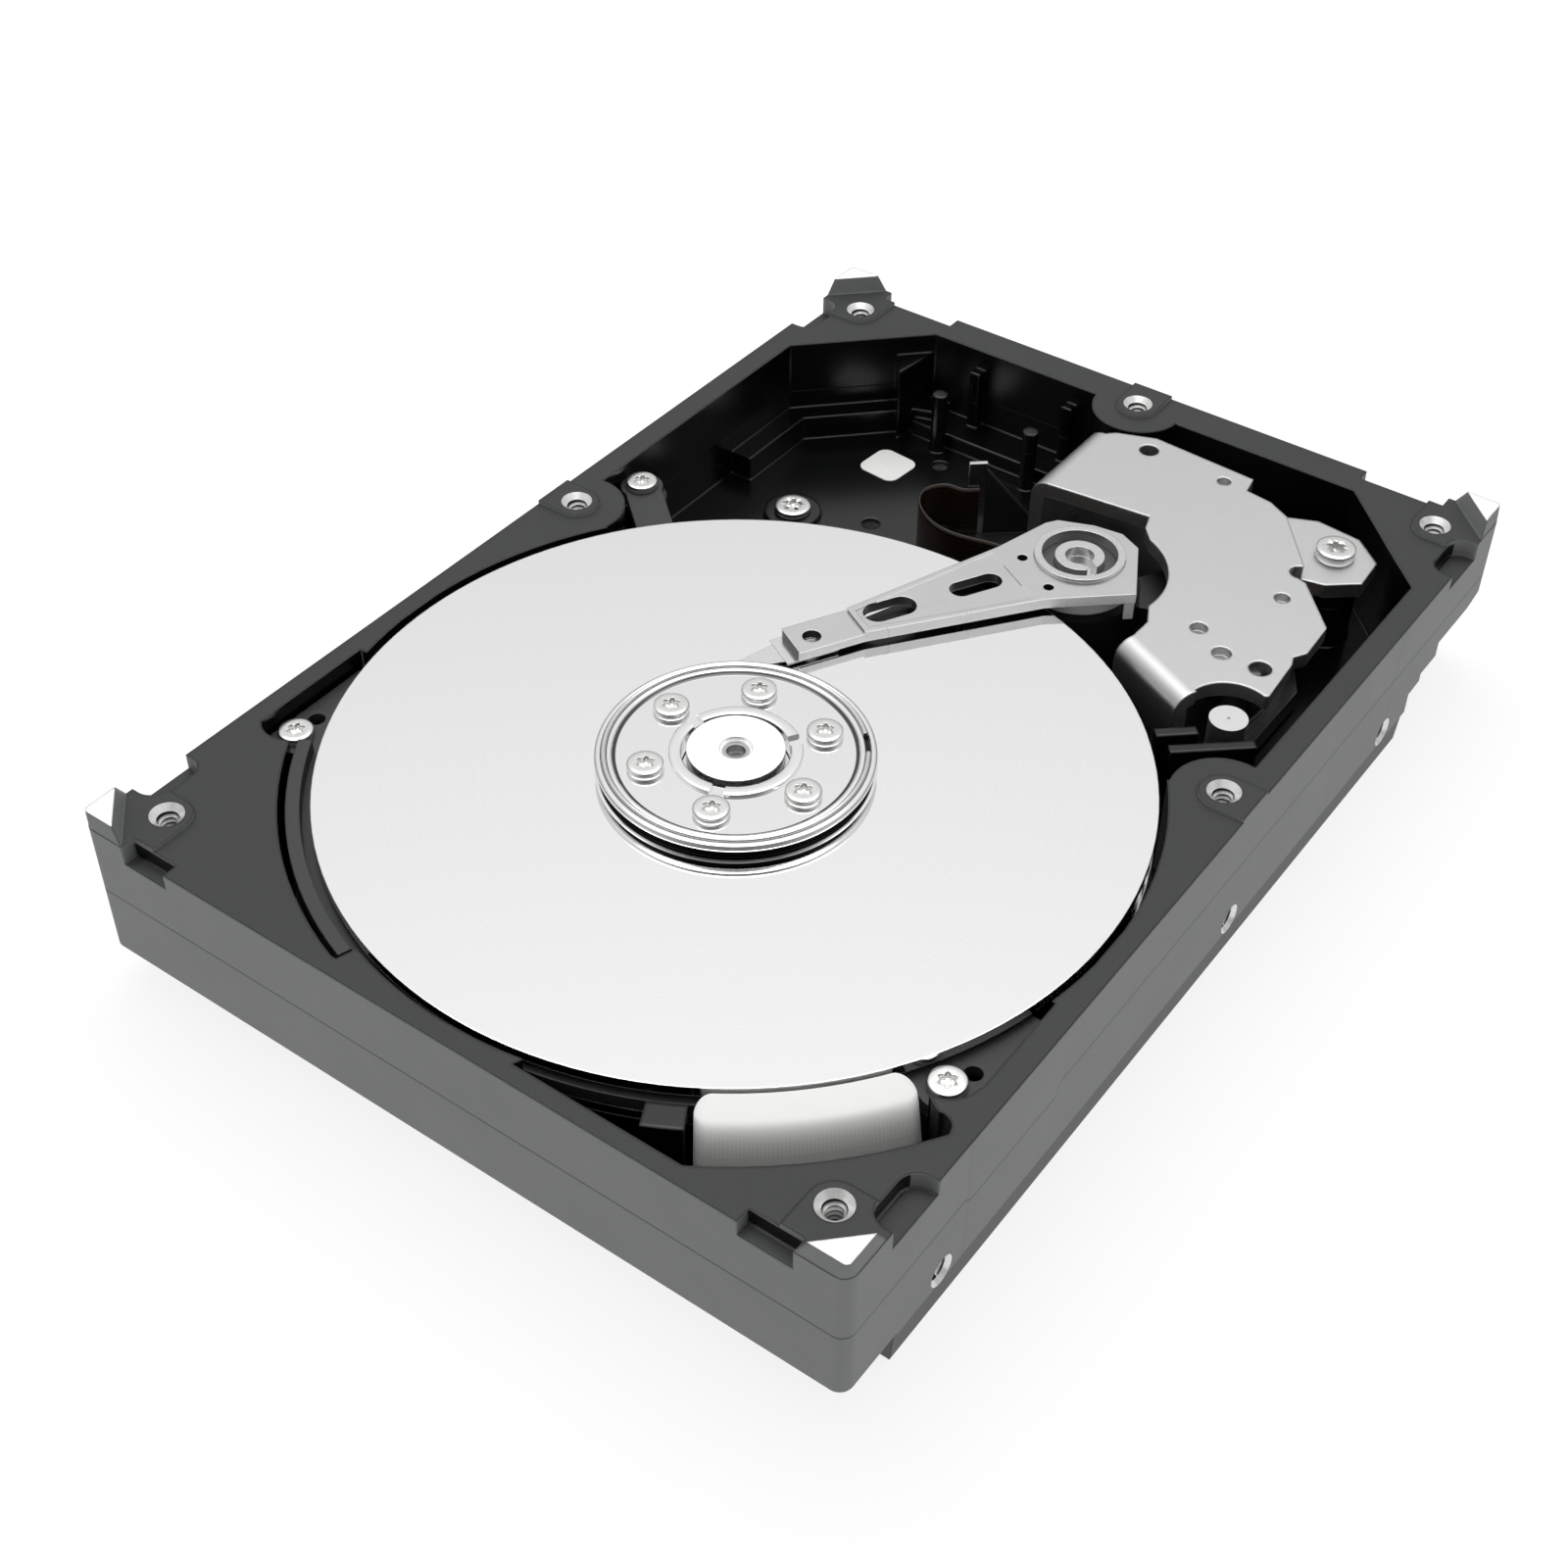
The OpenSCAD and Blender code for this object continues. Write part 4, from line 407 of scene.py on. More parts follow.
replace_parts(pad, "recirculation_filter")

# Floor label: a small square of bare white paper with rounded corners.
# It is die-cut, gummed and stuck to the chamber floor.
# White coated paper: nearly flat, with a faint fibre cloud.
paper = finish("white_label_paper", "#f4f4f2", "#fdfdfb", 0.8, (0.5, 0.65), edge=0.05)
dress(paper, "floor_label")

# Spindle motor, fixed half: a bronze bearing sleeve with a hard thrust plate, and a stack of silicon-steel
# laminations with nine wound teeth, pressed onto the floor's seat under the hub.
# Oily sintered bronze: warm grey with open pores.
bronze = finish("sintered_bronze", "#6f6450", "#8d8370", 0.3, (0.4, 0.55), metal=1.0, depth=0.02)
dress(bronze, "bearing_sleeve")
# Ground steel: bright with fine streaks along the grinding direction.
ground = finish("ground_bearing_steel", "#d2d3d3", "#e2e2e2", 0.3, (0.15, 0.25), metal=1.0,
                stretch=(1, 1, 8), edge=0.12, depth=0.001)
dress(ground, "thrust_plate")
# Stacked laminations: thin dark joints every 0.35 mm up the stack.
stack, tree, shader, place = start_material("stacked_core_laminations")
height = add(tree, "ShaderNodeSeparateXYZ", {0: place}).outputs[2]
layers = add(tree, "ShaderNodeMath", {0: height, 1: 2 * math.pi / (0.35 * mm)},
             operation="MULTIPLY").outputs[0]
layers = add(tree, "ShaderNodeMath", {0: layers}, operation="SINE").outputs[0]
joint = add(tree, "ShaderNodeMapRange", {0: layers, 1: 0.6, 2: 0.95, 3: 0.0, 4: 1.0}).outputs[0]
tone = add(tree, "ShaderNodeMix", {0: joint, 6: linear("#8b8d90"), 7: linear("#2f3032")},
           data_type="RGBA").outputs[2]
relief = add(tree, "ShaderNodeBump", {"Strength": 0.5, "Distance": 0.03 * mm, "Height": layers}).outputs[0]
add(tree, shader, {"Base Color": tone, "Roughness": 0.45, "Metallic": 0.8, "Normal": relief})
dress(stack, "stator_core")
# Enamelled copper wire: turns 0.25 mm apart, drawn coarser than the real wire, glossy over warm copper.
winding, tree, shader, place = start_material("enamelled_copper_wire")
height = add(tree, "ShaderNodeSeparateXYZ", {0: place}).outputs[2]
turns = add(tree, "ShaderNodeMath", {0: height, 1: 2 * math.pi / (0.25 * mm)},
            operation="MULTIPLY").outputs[0]
turns = add(tree, "ShaderNodeMath", {0: turns}, operation="SINE").outputs[0]
shade = add(tree, "ShaderNodeMapRange", {0: turns, 1: -1.0, 2: 1.0, 3: 0.0, 4: 1.0}).outputs[0]
tone = add(tree, "ShaderNodeMix", {0: shade, 6: linear("#5a2a12"), 7: linear("#b5652e")},
           data_type="RGBA").outputs[2]
relief = add(tree, "ShaderNodeBump", {"Strength": 0.6, "Distance": 0.08 * mm, "Height": shade}).outputs[0]
add(tree, shader, {
    "Base Color": tone, "Roughness": 0.3, "Metallic": 0.7, "Normal": relief, "Coat Weight": 0.5,
})
dress(winding, "stator_windings")

# Spindle motor, turning half: a turned and polished hub with its shaft and a bonded ring magnet.
# The magnet is glued into the skirt; the shaft is pressed into the hub and turns in the sleeve's oil film.


def axis_distance(tree, place, x, y):
    offset = add(tree, "ShaderNodeVectorMath", {0: place, 1: (x * mm, y * mm, 0)},
                 operation="SUBTRACT").outputs[0]
    flat = add(tree, "ShaderNodeVectorMath", {0: offset, 1: (1, 1, 0)}, operation="MULTIPLY").outputs[0]
    return add(tree, "ShaderNodeVectorMath", {0: flat}, operation="LENGTH").outputs["Value"]


# Polished hub metal: mirror-bright with faint turning rings, and a whiter, softer boss in the middle.
chrome, tree, shader, place = start_material("polished_hub_metal")
radius = axis_distance(tree, place, hub_at.x, hub_at.y)
rings = add(tree, "ShaderNodeTexNoise", {"W": radius, "Scale": 1000 / 0.15, "Detail": 2.0},
            noise_dimensions="1D").outputs["Fac"]
tone = add(tree, "ShaderNodeMix", {0: rings, 6: linear("#e6e6e6"), 7: linear("#f4f4f4")},
           data_type="RGBA").outputs[2]
boss = add(tree, "ShaderNodeMapRange", {0: radius, 1: 5.5 * mm, 2: 5.7 * mm, 3: 1.0, 4: 0.0}).outputs[0]
tone = add(tree, "ShaderNodeMix", {0: boss, 6: tone, 7: linear("#ffffff")}, data_type="RGBA").outputs[2]
centre = add(tree, "ShaderNodeMapRange", {0: radius, 1: 1.5 * mm, 2: 1.7 * mm, 3: 1.0, 4: 0.0}).outputs[0]
tone = add(tree, "ShaderNodeMix", {0: centre, 6: tone, 7: linear("#b4b4b4")}, data_type="RGBA").outputs[2]
dull = add(tree, "ShaderNodeMapRange", {0: rings, 3: 0.05, 4: 0.12}).outputs[0]
dull = add(tree, "ShaderNodeMath", {0: boss, 1: 0.22, 2: dull}, operation="MULTIPLY_ADD").outputs[0]
rounded = add(tree, "ShaderNodeBevel", {"Radius": 0.12 * mm}, samples=6).outputs[0]
add(tree, shader, {"Base Color": tone, "Roughness": dull, "Metallic": 1.0, "Normal": rounded})
dress(chrome, "rotor_hub")
dress(ground, "spindle_shaft")
# Bonded magnet powder: dark grey with a dull speckle.
bonded = finish("bonded_ring_magnet", "#37393b", "#515356", 0.25, (0.5, 0.65), metal=0.6)
dress(bonded, "rotor_magnet")

# Platters and spacer: two polished, sputtered aluminium disks on the hub, kept apart by a turned ring.
# Sputtered mirror: silver with the faintest rings from polishing, bright edges at rim and bore.
mirror, tree, shader, place = start_material("sputtered_platter_mirror")
radius = axis_distance(tree, place, hub_at.x, hub_at.y)
rings = add(tree, "ShaderNodeTexNoise", {"W": radius, "Scale": 1000 / 0.4, "Detail": 3.0},
            noise_dimensions="1D").outputs["Fac"]
haze = add(tree, "ShaderNodeTexNoise", {"Vector": place, "Scale": 1000 / 18, "Detail": 3.0}).outputs["Fac"]
tone = add(tree, "ShaderNodeMix", {0: rings, 6: linear("#f4f4f4"), 7: linear("#f7f7f7")},
           data_type="RGBA").outputs[2]
dull = add(tree, "ShaderNodeMapRange", {0: haze, 3: 0.04, 4: 0.09}).outputs[0]
rounded = add(tree, "ShaderNodeBevel", {"Radius": 0.2 * mm}, samples=6).outputs[0]
add(tree, shader, {"Base Color": tone, "Roughness": dull, "Metallic": 1.0, "Normal": rounded})
dress(mirror, "lower_platter", "upper_platter")
# Turned aluminium: satin with fine rings.
turned_ring = finish("turned_aluminium", "#b4b5b6", "#cccdcd", 0.3, (0.25, 0.4), metal=1.0,
                     stretch=(1, 1, 6))
dress(turned_ring, "platter_spacer")

# Disk clamp: a spring-steel cap, pressed and polished, with a double bead round its edge and a slit collar.
# Six screws pull it onto the upper platter, and a split wire in the bead balances the stack.
bm = bmesh.new()
# Half section of the cap in mm: radius and height, from the collar over the bead to the foot.
cap_section = [
    (6.2, 22.25), (6.2, 24.2), (7.3, 24.2), (13.4, 24.2), (13.5, 24.2), (13.75, 24.26),
    (13.9, 24.4), (14.0, 24.56), (14.15, 24.63), (14.35, 24.63), (14.5, 24.58), (14.58, 24.4),
    (14.7, 24.3), (14.88, 24.26), (15.06, 24.3), (15.18, 24.4), (15.25, 24.58), (15.4, 24.64),
    (15.6, 24.62), (15.78, 24.54), (15.9, 24.4), (15.95, 24.2), (15.95, 23.98), (15.9, 23.84),
    (15.75, 23.74), (15.45, 23.64), (15.33, 23.52), (15.3, 23.38), (15.3, 22.62), (15.34, 22.48),
    (15.5, 22.37), (15.8, 22.31), (15.94, 22.26), (15.94, 22.2),
]
turn(bm, cap_section, steps=128)
# The collar: its half section in mm, and its slots.
collar_section = [
    (6.2, 24.18), (7.62, 24.18), (7.6, 24.5), (7.5, 24.6),
    (7.36, 24.63), (6.44, 24.63), (6.3, 24.6), (6.2, 24.5),
]
collar_r, slot_half_width, slot_count, first_slot = 6.9, 0.8, 3, 50
slot_half = math.degrees(math.asin(slot_half_width / collar_r))
slot_step = 360 / slot_count
for i in range(slot_count):
    section = bmesh.new()
    face = section.faces.new([section.verts.new((r * mm, 0, z * mm)) for r, z in collar_section])
    outline = [face] + list(face.edges) + list(face.verts)
    bmesh.ops.spin(section, geom=outline, cent=(0, 0, 0), axis=(0, 0, 1),
                   angle=math.radians(slot_step - 2 * slot_half), steps=28)
    spin_to = Matrix.Rotation(math.radians(first_slot + slot_step * i + slot_half), 4, "Z")
    bmesh.ops.transform(section, matrix=spin_to, verts=section.verts)
    collar = bpy.data.meshes.new("collar")
    section.to_mesh(collar)
    section.free()
    bm.from_mesh(collar)
    bpy.data.meshes.remove(collar)
bmesh.ops.translate(bm, verts=bm.verts, vec=hub_at * mm)
# Polished clamp steel: a mirror with faint rings, and painted shade where the bead's groove and neck lie in
# shadow.
# Painted shade lines, in mm: radius, half width, the heights over which each ends, and its colour.
shade_lines = (
    (15.3, 0.3, 23.55, 23.75, "#161616"),
    (14.88, 0.22, 24.38, 24.5, "#303030"),
    (13.72, 0.14, 24.42, 24.55, "#585858"),
)
clamp_steel, tree, shader, place = start_material("polished_clamp_steel")
radius = axis_distance(tree, place, hub_at.x, hub_at.y)
height = add(tree, "ShaderNodeSeparateXYZ", {0: place}).outputs[2]
rings = add(tree, "ShaderNodeTexNoise", {"W": radius, "Scale": 1000 / 0.15, "Detail": 2.0},
            noise_dimensions="1D").outputs["Fac"]
tone = add(tree, "ShaderNodeMix", {0: rings, 6: linear("#ececec"), 7: linear("#f6f6f6")},
           data_type="RGBA").outputs[2]
for line_r, half, z_from, z_to, shade_tone in shade_lines:
    line = add(tree, "ShaderNodeMath", {0: radius, 1: line_r * mm}, operation="SUBTRACT").outputs[0]
    line = add(tree, "ShaderNodeMath", {0: line}, operation="ABSOLUTE").outputs[0]
    line = add(tree, "ShaderNodeMapRange", {
        0: line, 1: half * mm, 2: (half + 0.12) * mm, 3: 1.0, 4: 0.0,
    }).outputs[0]
    shade_below = add(tree, "ShaderNodeMapRange", {
        0: height, 1: z_from * mm, 2: z_to * mm, 3: 1.0, 4: 0.0,
    }).outputs[0]
    line = add(tree, "ShaderNodeMath", {0: line, 1: shade_below}, operation="MULTIPLY").outputs[0]
    tone = add(tree, "ShaderNodeMix", {0: line, 6: tone, 7: linear(shade_tone)}, data_type="RGBA").outputs[2]
dull = add(tree, "ShaderNodeMapRange", {0: rings, 3: 0.05, 4: 0.12}).outputs[0]
add(tree, shader, {"Base Color": tone, "Roughness": dull, "Metallic": 1.0})
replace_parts(make_piece("polished_disk_clamp", bm, clamp_steel, "spindle"), "disk_clamp")
dress(ground, "balance_ring")
bm = bmesh.new()
screw_count, screw_ring_r, first_screw = 6, 10.45, -8
for i in range(screw_count):
    angle = math.radians(first_screw + 360 / screw_count * i)
    x, y = screw_ring_r * math.cos(angle), hub_at.y + screw_ring_r * math.sin(angle)
    lobed_screw(bm, (x, y), seat=24.2, head_r=2.1, head_h=0.95, shank_r=0.95, length=6.1)
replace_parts(make_piece("clamp_screw_set", bm, screw_steel, "spindle"), "clamp_screws")

# Actuator: an aluminium block milled and extruded with three arms, on a steel cartridge bearing.
# Stainless foil suspensions are swaged to the arm tips and carry the ceramic sliders.
# Machined aluminium: even satin faces with a painted highlight on the side faces, and painted shade on the
# undersides, the slot walls, the barrel and the lower arms.
pivot_at = Vector((12.2009, 32.4959))
arm_turn = math.radians(118.727)
# Slots, in mm along the arm from the pivot and across it; and the heights between which shade begins.
slots_from, slot_change, near_reach, far_reach = 5.9, (7.6, 8), 4.8, 2.3
shade_z = (20.1, 20.3)
milled_arm, tree, shader, place = start_material("machined_arm_aluminium")
height = add(tree, "ShaderNodeSeparateXYZ", {0: place}).outputs[2]
normal = add(tree, "ShaderNodeNewGeometry").outputs["Normal"]
facing = add(tree, "ShaderNodeSeparateXYZ", {0: normal}).outputs[2]
from_pivot = add(tree, "ShaderNodeVectorMath", {0: place, 1: (pivot_at.x * mm, pivot_at.y * mm, 0)},
                 operation="SUBTRACT").outputs[0]
along_arm = add(tree, "ShaderNodeVectorRotate", {"Vector": from_pivot, "Angle": arm_turn},
                rotation_type="Z_AXIS").outputs[0]
across = add(tree, "ShaderNodeSeparateXYZ", {0: along_arm}).outputs
cloud = add(tree, "ShaderNodeTexNoise", {"Vector": place, "Scale": 1000 / 4, "Detail": 3.0}).outputs["Fac"]
tone = add(tree, "ShaderNodeMix", {0: cloud, 6: linear("#cacaca"), 7: linear("#d0d0d0")},
           data_type="RGBA").outputs[2]
# Painted highlight: side faces are coloured near white and made less metallic, standing in for reflected
# light.
side = add(tree, "ShaderNodeMapRange", {0: facing, 1: 0.3, 2: 0.7, 3: 1.0, 4: 0.0}).outputs[0]
# Painted shade: faces that look down are coloured near black.
shade_below = add(tree, "ShaderNodeMapRange", {0: facing, 1: -0.7, 2: -0.3, 3: 1.0, 4: 0.0}).outputs[0]
reach = add(tree, "ShaderNodeMapRange", {
    0: across[0], 1: slot_change[0] * mm, 2: slot_change[1] * mm, 3: near_reach * mm, 4: far_reach * mm,
}).outputs[0]
middle = add(tree, "ShaderNodeMath", {0: across[1]}, operation="ABSOLUTE").outputs[0]
middle = add(tree, "ShaderNodeMath", {0: middle, 1: reach}, operation="LESS_THAN").outputs[0]
beyond = add(tree, "ShaderNodeMath", {0: across[0], 1: slots_from * mm},
             operation="GREATER_THAN").outputs[0]
# Painted shade: the walls of the slots are coloured dark.
slot_shade = add(tree, "ShaderNodeMath", {0: middle, 1: beyond}, operation="MULTIPLY").outputs[0]
slot_shade = add(tree, "ShaderNodeMath", {0: slot_shade, 1: side}, operation="MULTIPLY").outputs[0]
# Painted shade: all of the block below shade_z, the barrel and lower arms, is coloured near black.
painted_low_shade = add(tree, "ShaderNodeMapRange", {
    0: height, 1: shade_z[0] * mm, 2: shade_z[1] * mm, 3: 1.0, 4: 0.0,
}).outputs[0]
tone = add(tree, "ShaderNodeMix", {0: side, 6: tone, 7: linear("#f4f4f4")}, data_type="RGBA").outputs[2]
tone = add(tree, "ShaderNodeMix", {0: painted_low_shade, 6: tone, 7: linear("#202020")}, data_type="RGBA").outputs[2]
tone = add(tree, "ShaderNodeMix", {0: slot_shade, 6: tone, 7: linear("#2c2c2c")}, data_type="RGBA").outputs[2]
tone = add(tree, "ShaderNodeMix", {0: shade_below, 6: tone, 7: linear("#1c1c1c")}, data_type="RGBA").outputs[2]
shine = add(tree, "ShaderNodeMapRange", {0: side, 3: 1.0, 4: 0.3}).outputs[0]
dull = add(tree, "ShaderNodeMapRange", {0: cloud, 3: 0.26, 4: 0.3}).outputs[0]
rounded = add(tree, "ShaderNodeBevel", {"Radius": 0.12 * mm}, samples=8).outputs[0]
add(tree, shader, {"Base Color": tone, "Roughness": dull, "Metallic": shine, "Normal": rounded})
dress(milled_arm, "arm_block")
dress(ground, "pivot_sleeve", "pivot_shaft")
# Bearing shield: plain grey steel, darker between the bright rings.
shield = finish("bearing_shield_steel", "#585858", "#686868", 0.3, (0.3, 0.4), metal=1.0)
dress(shield, "upper_pivot_bearing", "lower_pivot_bearing")
# Stainless foil: bright, thin and slightly wavy.
foil = finish("stainless_foil", "#dadbdb", "#e8e8e8", 0.5, (0.16, 0.26), metal=1.0, edge=0.05, depth=0.001)
dress(foil, "head_suspension_1", "head_suspension_2", "head_suspension_3", "head_suspension_4")
dress(foil, "flex_stiffener")
# Slider ceramic: nearly black, finely ground.
ceramic = finish("slider_ceramic", "#1f2123", "#33363a", 0.15, (0.3, 0.45), edge=0.03)
dress(ceramic, "head_slider_1", "head_slider_2", "head_slider_3", "head_slider_4")
dress(moulding, "coil_fork")
dress(winding, "voice_coil")

# Voice coil motor: two blanked plates of soft steel, each with a magnet; the top one is rolled at two edges.
# The top plate's ear is screwed to the housing beside a plain locating pin.
# Satin nickel plate: even grey with a fine matte grain and pale rolled edges.
satin = finish("satin_nickel_plate", "#c0c0c0", "#cacaca", 0.25, (0.34, 0.44), metal=1.0, edge=0.4,
               depth=0.006)
dress(satin, "yoke_top_plate")
# Oiled steel: the bare plate below, dark in the chamber's shade.
dress(finish("oiled_yoke_steel", "#4b4c4d", "#5d5e5f", 0.4, (0.35, 0.5), metal=1.0), "yoke_bottom_plate")
# Plated magnet: smoother and a little darker than the yoke.
magnet = finish("plated_magnet", "#98999b", "#adaeb0", 0.8, (0.2, 0.32), metal=1.0, edge=0.2)
dress(magnet, "top_magnet", "bottom_magnet")
# Faced pin: an even silky end with a small dark lathe centre.
faced, tree, shader, place = start_material("faced_pin_steel")
pin_x, pin_y = 40.7009, 18.5959
radius = axis_distance(tree, place, pin_x, pin_y)
centre = add(tree, "ShaderNodeMapRange", {0: radius, 1: 0.12 * mm, 2: 0.28 * mm, 3: 1.0, 4: 0.0}).outputs[0]
rings = add(tree, "ShaderNodeTexNoise", {"W": radius, "Scale": 1000 / 0.1, "Detail": 2.0},
            noise_dimensions="1D").outputs["Fac"]
tone = add(tree, "ShaderNodeMix", {0: rings, 6: linear("#d0d0d0"), 7: linear("#dadada")},
           data_type="RGBA").outputs[2]
tone = add(tree, "ShaderNodeMix", {0: centre, 6: tone, 7: linear("#8a8a8a")}, data_type="RGBA").outputs[2]
add(tree, shader, {"Base Color": tone, "Roughness": 0.36, "Metallic": 1.0})
dress(faced, "locating_pin")
bm = bmesh.new()
lobed_screw(bm, (36.10, 56.40), seat=20.6, head_r=2.55, head_h=1.4, shank_r=0.95, length=6.4)
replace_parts(make_piece("yoke_ear_screw", bm, screw_steel, "base"), "yoke_screw")
# Crash-stop rubber: matt black.
rubber = finish("stop_rubber", "#101010", "#1b1b1b", 0.4, (0.7, 0.85))
dress(rubber, "inner_crash_stop", "outer_crash_stop")

# Flex circuit: a polyimide ribbon with copper traces, clipped to a moulded bracket with a bright blade.
# It hangs on edge in a loose loop to the amplifier board on the arm block; a plug goes through the floor.
dress(moulding, "flex_bracket", "flex_connector")
ribbon_low, ribbon_width, ribbon_length, ribbon_thickness = 9.5, 7.5, 34, 0.24
trace_pitch = 0.7
# From the pivot, in mm: the ribbon's path, and where it leaves the clip and meets the arm.
route = [
    (-23.08, 14.13), (-24.75, 12.75), (-27.4, 12.2), (-29.0, 9.6), (-27.7, 6.4), (-24.2, 4.0), (-20.2, 3.5),
    (-15.0, 4.6), (-10.0, 5.4), (-6.38, 5.21),
]


def smooth_point(points, t):
    i = min(int(t), len(points) - 2)
    t -= i
    a, b, c, d = [Vector(points[min(max(i + k, 0), len(points) - 1)]) for k in (-1, 0, 1, 2)]
    curve = (2 * a - 5 * b + 4 * c - d) * t * t + (3 * b - a - 3 * c + d) * t ** 3
    return 0.5 * (2 * b + (c - a) * t + curve)


bm = bmesh.new()
bmesh.ops.create_grid(bm, x_segments=120, y_segments=8, size=0.5)
trace_uv = bm.loops.layers.uv.new("trace")
spot = {v: (v.co.x + 0.5, v.co.y + 0.5) for v in bm.verts}
for v, (along, up) in spot.items():
    point = pivot_at + smooth_point(route, along * (len(route) - 1))
    v.co = (point.x * mm, point.y * mm, (ribbon_low + ribbon_width * up) * mm)
for face in bm.faces:
    for loop in face.loops:
        along, up = spot[loop.vert]
        loop[trace_uv].uv = (along * ribbon_length, up * ribbon_width)
# Amber film: deep brown and glossy, with copper traces a little lighter along it.
film, tree, shader, place = start_material("amber_flex_film")
unrolled = add(tree, "ShaderNodeUVMap", uv_map="trace").outputs[0]
uv = add(tree, "ShaderNodeSeparateXYZ", {0: unrolled}).outputs
lines = add(tree, "ShaderNodeMath", {0: uv[1], 1: 2 * math.pi / trace_pitch},
            operation="MULTIPLY").outputs[0]
lines = add(tree, "ShaderNodeMath", {0: lines}, operation="SINE").outputs[0]
trace = add(tree, "ShaderNodeMapRange", {0: lines, 1: -0.1, 2: 0.3, 3: 0.0, 4: 1.0}).outputs[0]
tone = add(tree, "ShaderNodeMix", {0: trace, 6: linear("#100a06"), 7: linear("#2c1a0e")},
           data_type="RGBA").outputs[2]
relief = add(tree, "ShaderNodeBump", {"Strength": 0.3, "Distance": 0.02 * mm, "Height": trace}).outputs[0]
add(tree, shader, {"Base Color": tone, "Roughness": 0.28, "Normal": relief})
ribbon = make_piece("flex_ribbon", bm, film, None)
thickness = ribbon.modifiers.new("film", "SOLIDIFY")
thickness.thickness = ribbon_thickness * mm
thickness.offset = 0.0
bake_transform(ribbon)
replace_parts(ribbon, "flex_cable")
# Amplifier board: the stiffened end of the flex, brown film with a dark coated chip area.
dress(finish("amplifier_board_film", "#2a190d", "#4a2e1a", 0.9, (0.3, 0.45)), "amplifier_board")

# Electronics under the floor: an insulating sheet, a solder-masked board with moulded chips, and a black
# data-and-power connector with gold-plated contacts. Four screws hold the board to cast bosses.
# Insulating foam film: black and matt, with a fine open texture.
insulator = finish("insulating_foam_sheet", "#141415", "#232425", 0.5, (0.75, 0.9), depth=0.03)
dress(insulator, "insulator_sheet")
# Solder mask: deep green and glossy, over patches of parallel raised traces, drawn coarser than real.
# The traces' pitch is in mm; a wave pattern at scale 1 repeats once in a wave length.
board_trace_pitch, wave_length = 0.9, 0.314
mask, tree, shader, place = start_material("green_solder_mask")
trace_scale = wave_length / (board_trace_pitch * mm)
patch = add(tree, "ShaderNodeTexVoronoi", {"Vector": place, "Scale": 1000 / 9},
            distance="CHEBYCHEV").outputs["Color"]
patch = add(tree, "ShaderNodeMath", {0: patch, 1: 0.5}, operation="GREATER_THAN").outputs[0]
across = add(tree, "ShaderNodeTexWave", {"Vector": place, "Scale": trace_scale},
             bands_direction="X").outputs["Fac"]
along = add(tree, "ShaderNodeTexWave", {"Vector": place, "Scale": trace_scale},
            bands_direction="Y").outputs["Fac"]
grid = add(tree, "ShaderNodeMix", {0: patch, 2: across, 3: along}).outputs[0]
grid = add(tree, "ShaderNodeMapRange", {0: grid, 1: 0.8, 2: 0.9, 3: 0.0, 4: 1.0}).outputs[0]
cloud = add(tree, "ShaderNodeTexNoise", {"Vector": place, "Scale": 1000 / 6, "Detail": 3.0}).outputs["Fac"]
tone = add(tree, "ShaderNodeMix", {0: cloud, 6: linear("#0e3a20"), 7: linear("#15502d")},
           data_type="RGBA").outputs[2]
tone = add(tree, "ShaderNodeMix", {0: grid, 6: tone, 7: linear("#1f6a3d")}, data_type="RGBA").outputs[2]
relief = add(tree, "ShaderNodeBump", {"Strength": 0.4, "Distance": 0.03 * mm, "Height": grid}).outputs[0]
add(tree, shader, {"Base Color": tone, "Roughness": 0.28, "Normal": relief})
dress(mask, "circuit_board")
# Chip epoxy: black with a fine matt grain.
epoxy = finish("chip_epoxy", "#18191a", "#232425", 0.3, (0.5, 0.62), edge=0.1)
dress(epoxy, "controller_chip", "memory_chip", "motor_driver_chip")
dress(moulding, "sata_connector")
# Gold plate: warm and bright, slightly worn along the sliding direction.
gold = finish("gold_plated_contacts", "#c79a3e", "#e2bd68", 0.4, (0.2, 0.3), metal=1.0, stretch=(4, 1, 1),
              edge=0.04)
dress(gold, "sata_contacts")
bm = bmesh.new()
board_screw_spots = ((38.5, 56.5), (38.5, -22.5), (-38.5, 45.5), (-38.5, -22.5))
for x, y in board_screw_spots:
    lobed_screw(bm, (x, y), seat=2.2, head_r=2.1, head_h=0.95, shank_r=0.95, length=5.1, down=True)
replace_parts(make_piece("board_screw_set", bm, screw_steel, "base"), "board_screws")

# Table: a wide white board, on which the drive stands on its two rails.
# It lies a hair below them, so that no two faces share a plane.
table_half, table_drop = 1.5, 0.02
table_mesh = bpy.data.meshes.new("table")
bm = bmesh.new()
bmesh.ops.create_grid(bm, x_segments=2, y_segments=2, size=table_half)
bmesh.ops.translate(bm, verts=bm.verts, vec=(0, 0, -table_drop * mm))
bm.to_mesh(table_mesh)
bm.free()
table = bpy.data.objects.new("table", table_mesh)
bpy.context.scene.collection.objects.link(table)
# Table top: even white that takes a soft shadow; clear from below, so that the underside can be seen.
board, tree, shader, place = start_material("white_table")
add(tree, shader, {"Base Color": linear("#808080"), "Roughness": 0.7, "Specular IOR Level": 0.1,
                   "Emission Color": linear("#ffffff"), "Emission Strength": 0.82})
below = add(tree, "ShaderNodeNewGeometry").outputs["Backfacing"]
clear = add(tree, "ShaderNodeBsdfTransparent").outputs[0]
either = add(tree, "ShaderNodeMixShader", {0: below, 1: shader.outputs[0], 2: clear}).outputs[0]
add(tree, tree.nodes["Material Output"], {"Surface": either})
table_mesh.materials.append(board)

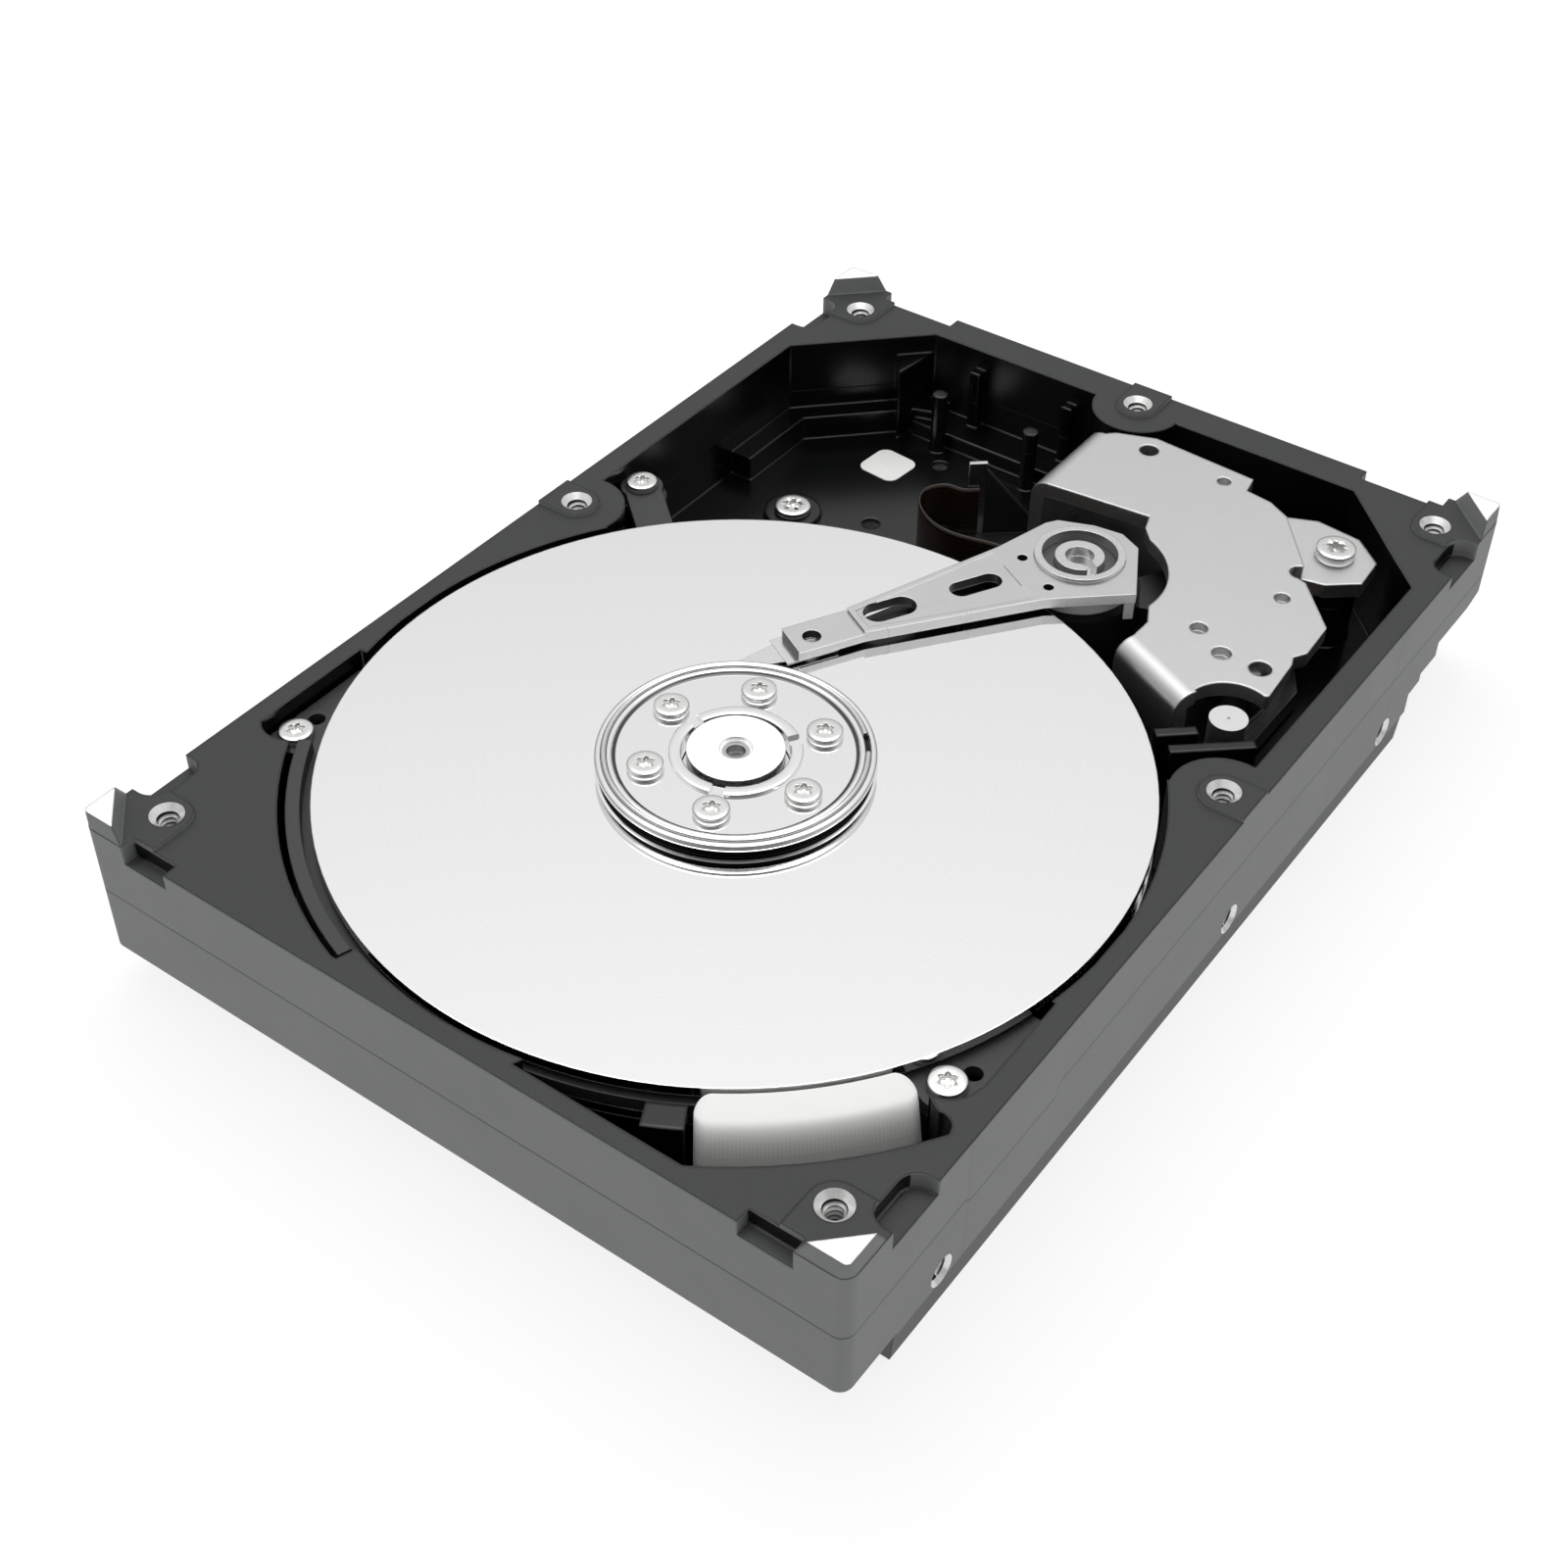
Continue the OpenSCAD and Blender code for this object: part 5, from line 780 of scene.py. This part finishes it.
# Room: white all round for the eye; in reflections it is dimmer low on the walls and behind the camera.
# A bright field overhead shows only on rounded edges.
behind_camera = (0.4529, -0.5968, 0.6626)
daylight = 0.6
world = bpy.data.worlds.new("studio")
bpy.context.scene.world = world
world.use_nodes = True
tree = world.node_tree
path = add(tree, "ShaderNodeLightPath").outputs
toward = add(tree, "ShaderNodeTexCoord").outputs["Generated"]
climb = add(tree, "ShaderNodeSeparateXYZ", {0: toward}).outputs[2]
wall = add(tree, "ShaderNodeMapRange", {0: climb, 1: 0.5, 2: 0.78, 3: 0.72, 4: 1.0}).outputs[0]
low = add(tree, "ShaderNodeMapRange", {0: climb, 1: 0.08, 2: 0.4, 3: 0.35, 4: 1.0}).outputs[0]
near = add(tree, "ShaderNodeVectorMath", {0: toward, 1: behind_camera},
           operation="DOT_PRODUCT").outputs["Value"]
near = add(tree, "ShaderNodeMapRange", {0: near, 1: 0.5, 2: 0.9, 3: 1.0, 4: 0.25}).outputs[0]
room = add(tree, "ShaderNodeMath", {0: wall, 1: low}, operation="MULTIPLY").outputs[0]
room = add(tree, "ShaderNodeMath", {0: room, 1: near}, operation="MULTIPLY").outputs[0]
overhead = add(tree, "ShaderNodeMapRange", {0: climb, 1: 0.79, 2: 0.86, 3: 0.0, 4: 2.5}).outputs[0]
room = add(tree, "ShaderNodeMath", {0: room, 1: overhead}, operation="ADD").outputs[0]
level = add(tree, "ShaderNodeMix", {0: path["Is Glossy Ray"], 2: daylight, 3: room}).outputs[0]
seen = add(tree, "ShaderNodeMath", {0: path["Is Camera Ray"], 1: path["Is Transmission Ray"]},
           operation="MAXIMUM").outputs[0]
level = add(tree, "ShaderNodeMix", {0: seen, 2: level, 3: 1.0}).outputs[0]
add(tree, tree.nodes["Background"], {"Color": linear("#ffffff"), "Strength": level})

# Soft lamp: a wide round screen high at the left rear, aimed at the drive and kept out of its reflections.
lamp_at = Vector((-0.25, 0.2, 0.7))
lamp = bpy.data.lights.new("softbox", "AREA")
lamp.shape = "DISK"
lamp.size = 0.7
lamp.energy = 2.6
softbox = bpy.data.objects.new("softbox", lamp)
softbox.location = lamp_at
softbox.rotation_euler = (-lamp_at).to_track_quat("-Z", "Y").to_euler()
softbox.visible_glossy = False
bpy.context.scene.collection.objects.link(softbox)

# Camera: stands where the photograph was taken, as fitted to the drive's known corners and holes.
lens = bpy.data.cameras.new("camera")
lens.sensor_width = 36
lens.lens = 52.29
lens.clip_start = 0.01
camera = bpy.data.objects.new("camera", lens)
camera.matrix_world = Matrix((
    (0.80907, -0.39888, 0.43162, 0.116260),
    (0.58765, 0.53884, -0.60359, -0.175857),
    (0.00818, 0.74199, 0.67036, 0.193101),
    (0, 0, 0, 1),
))
bpy.context.scene.collection.objects.link(camera)
bpy.context.scene.camera = camera
bpy.context.scene.view_settings.view_transform = "Standard"
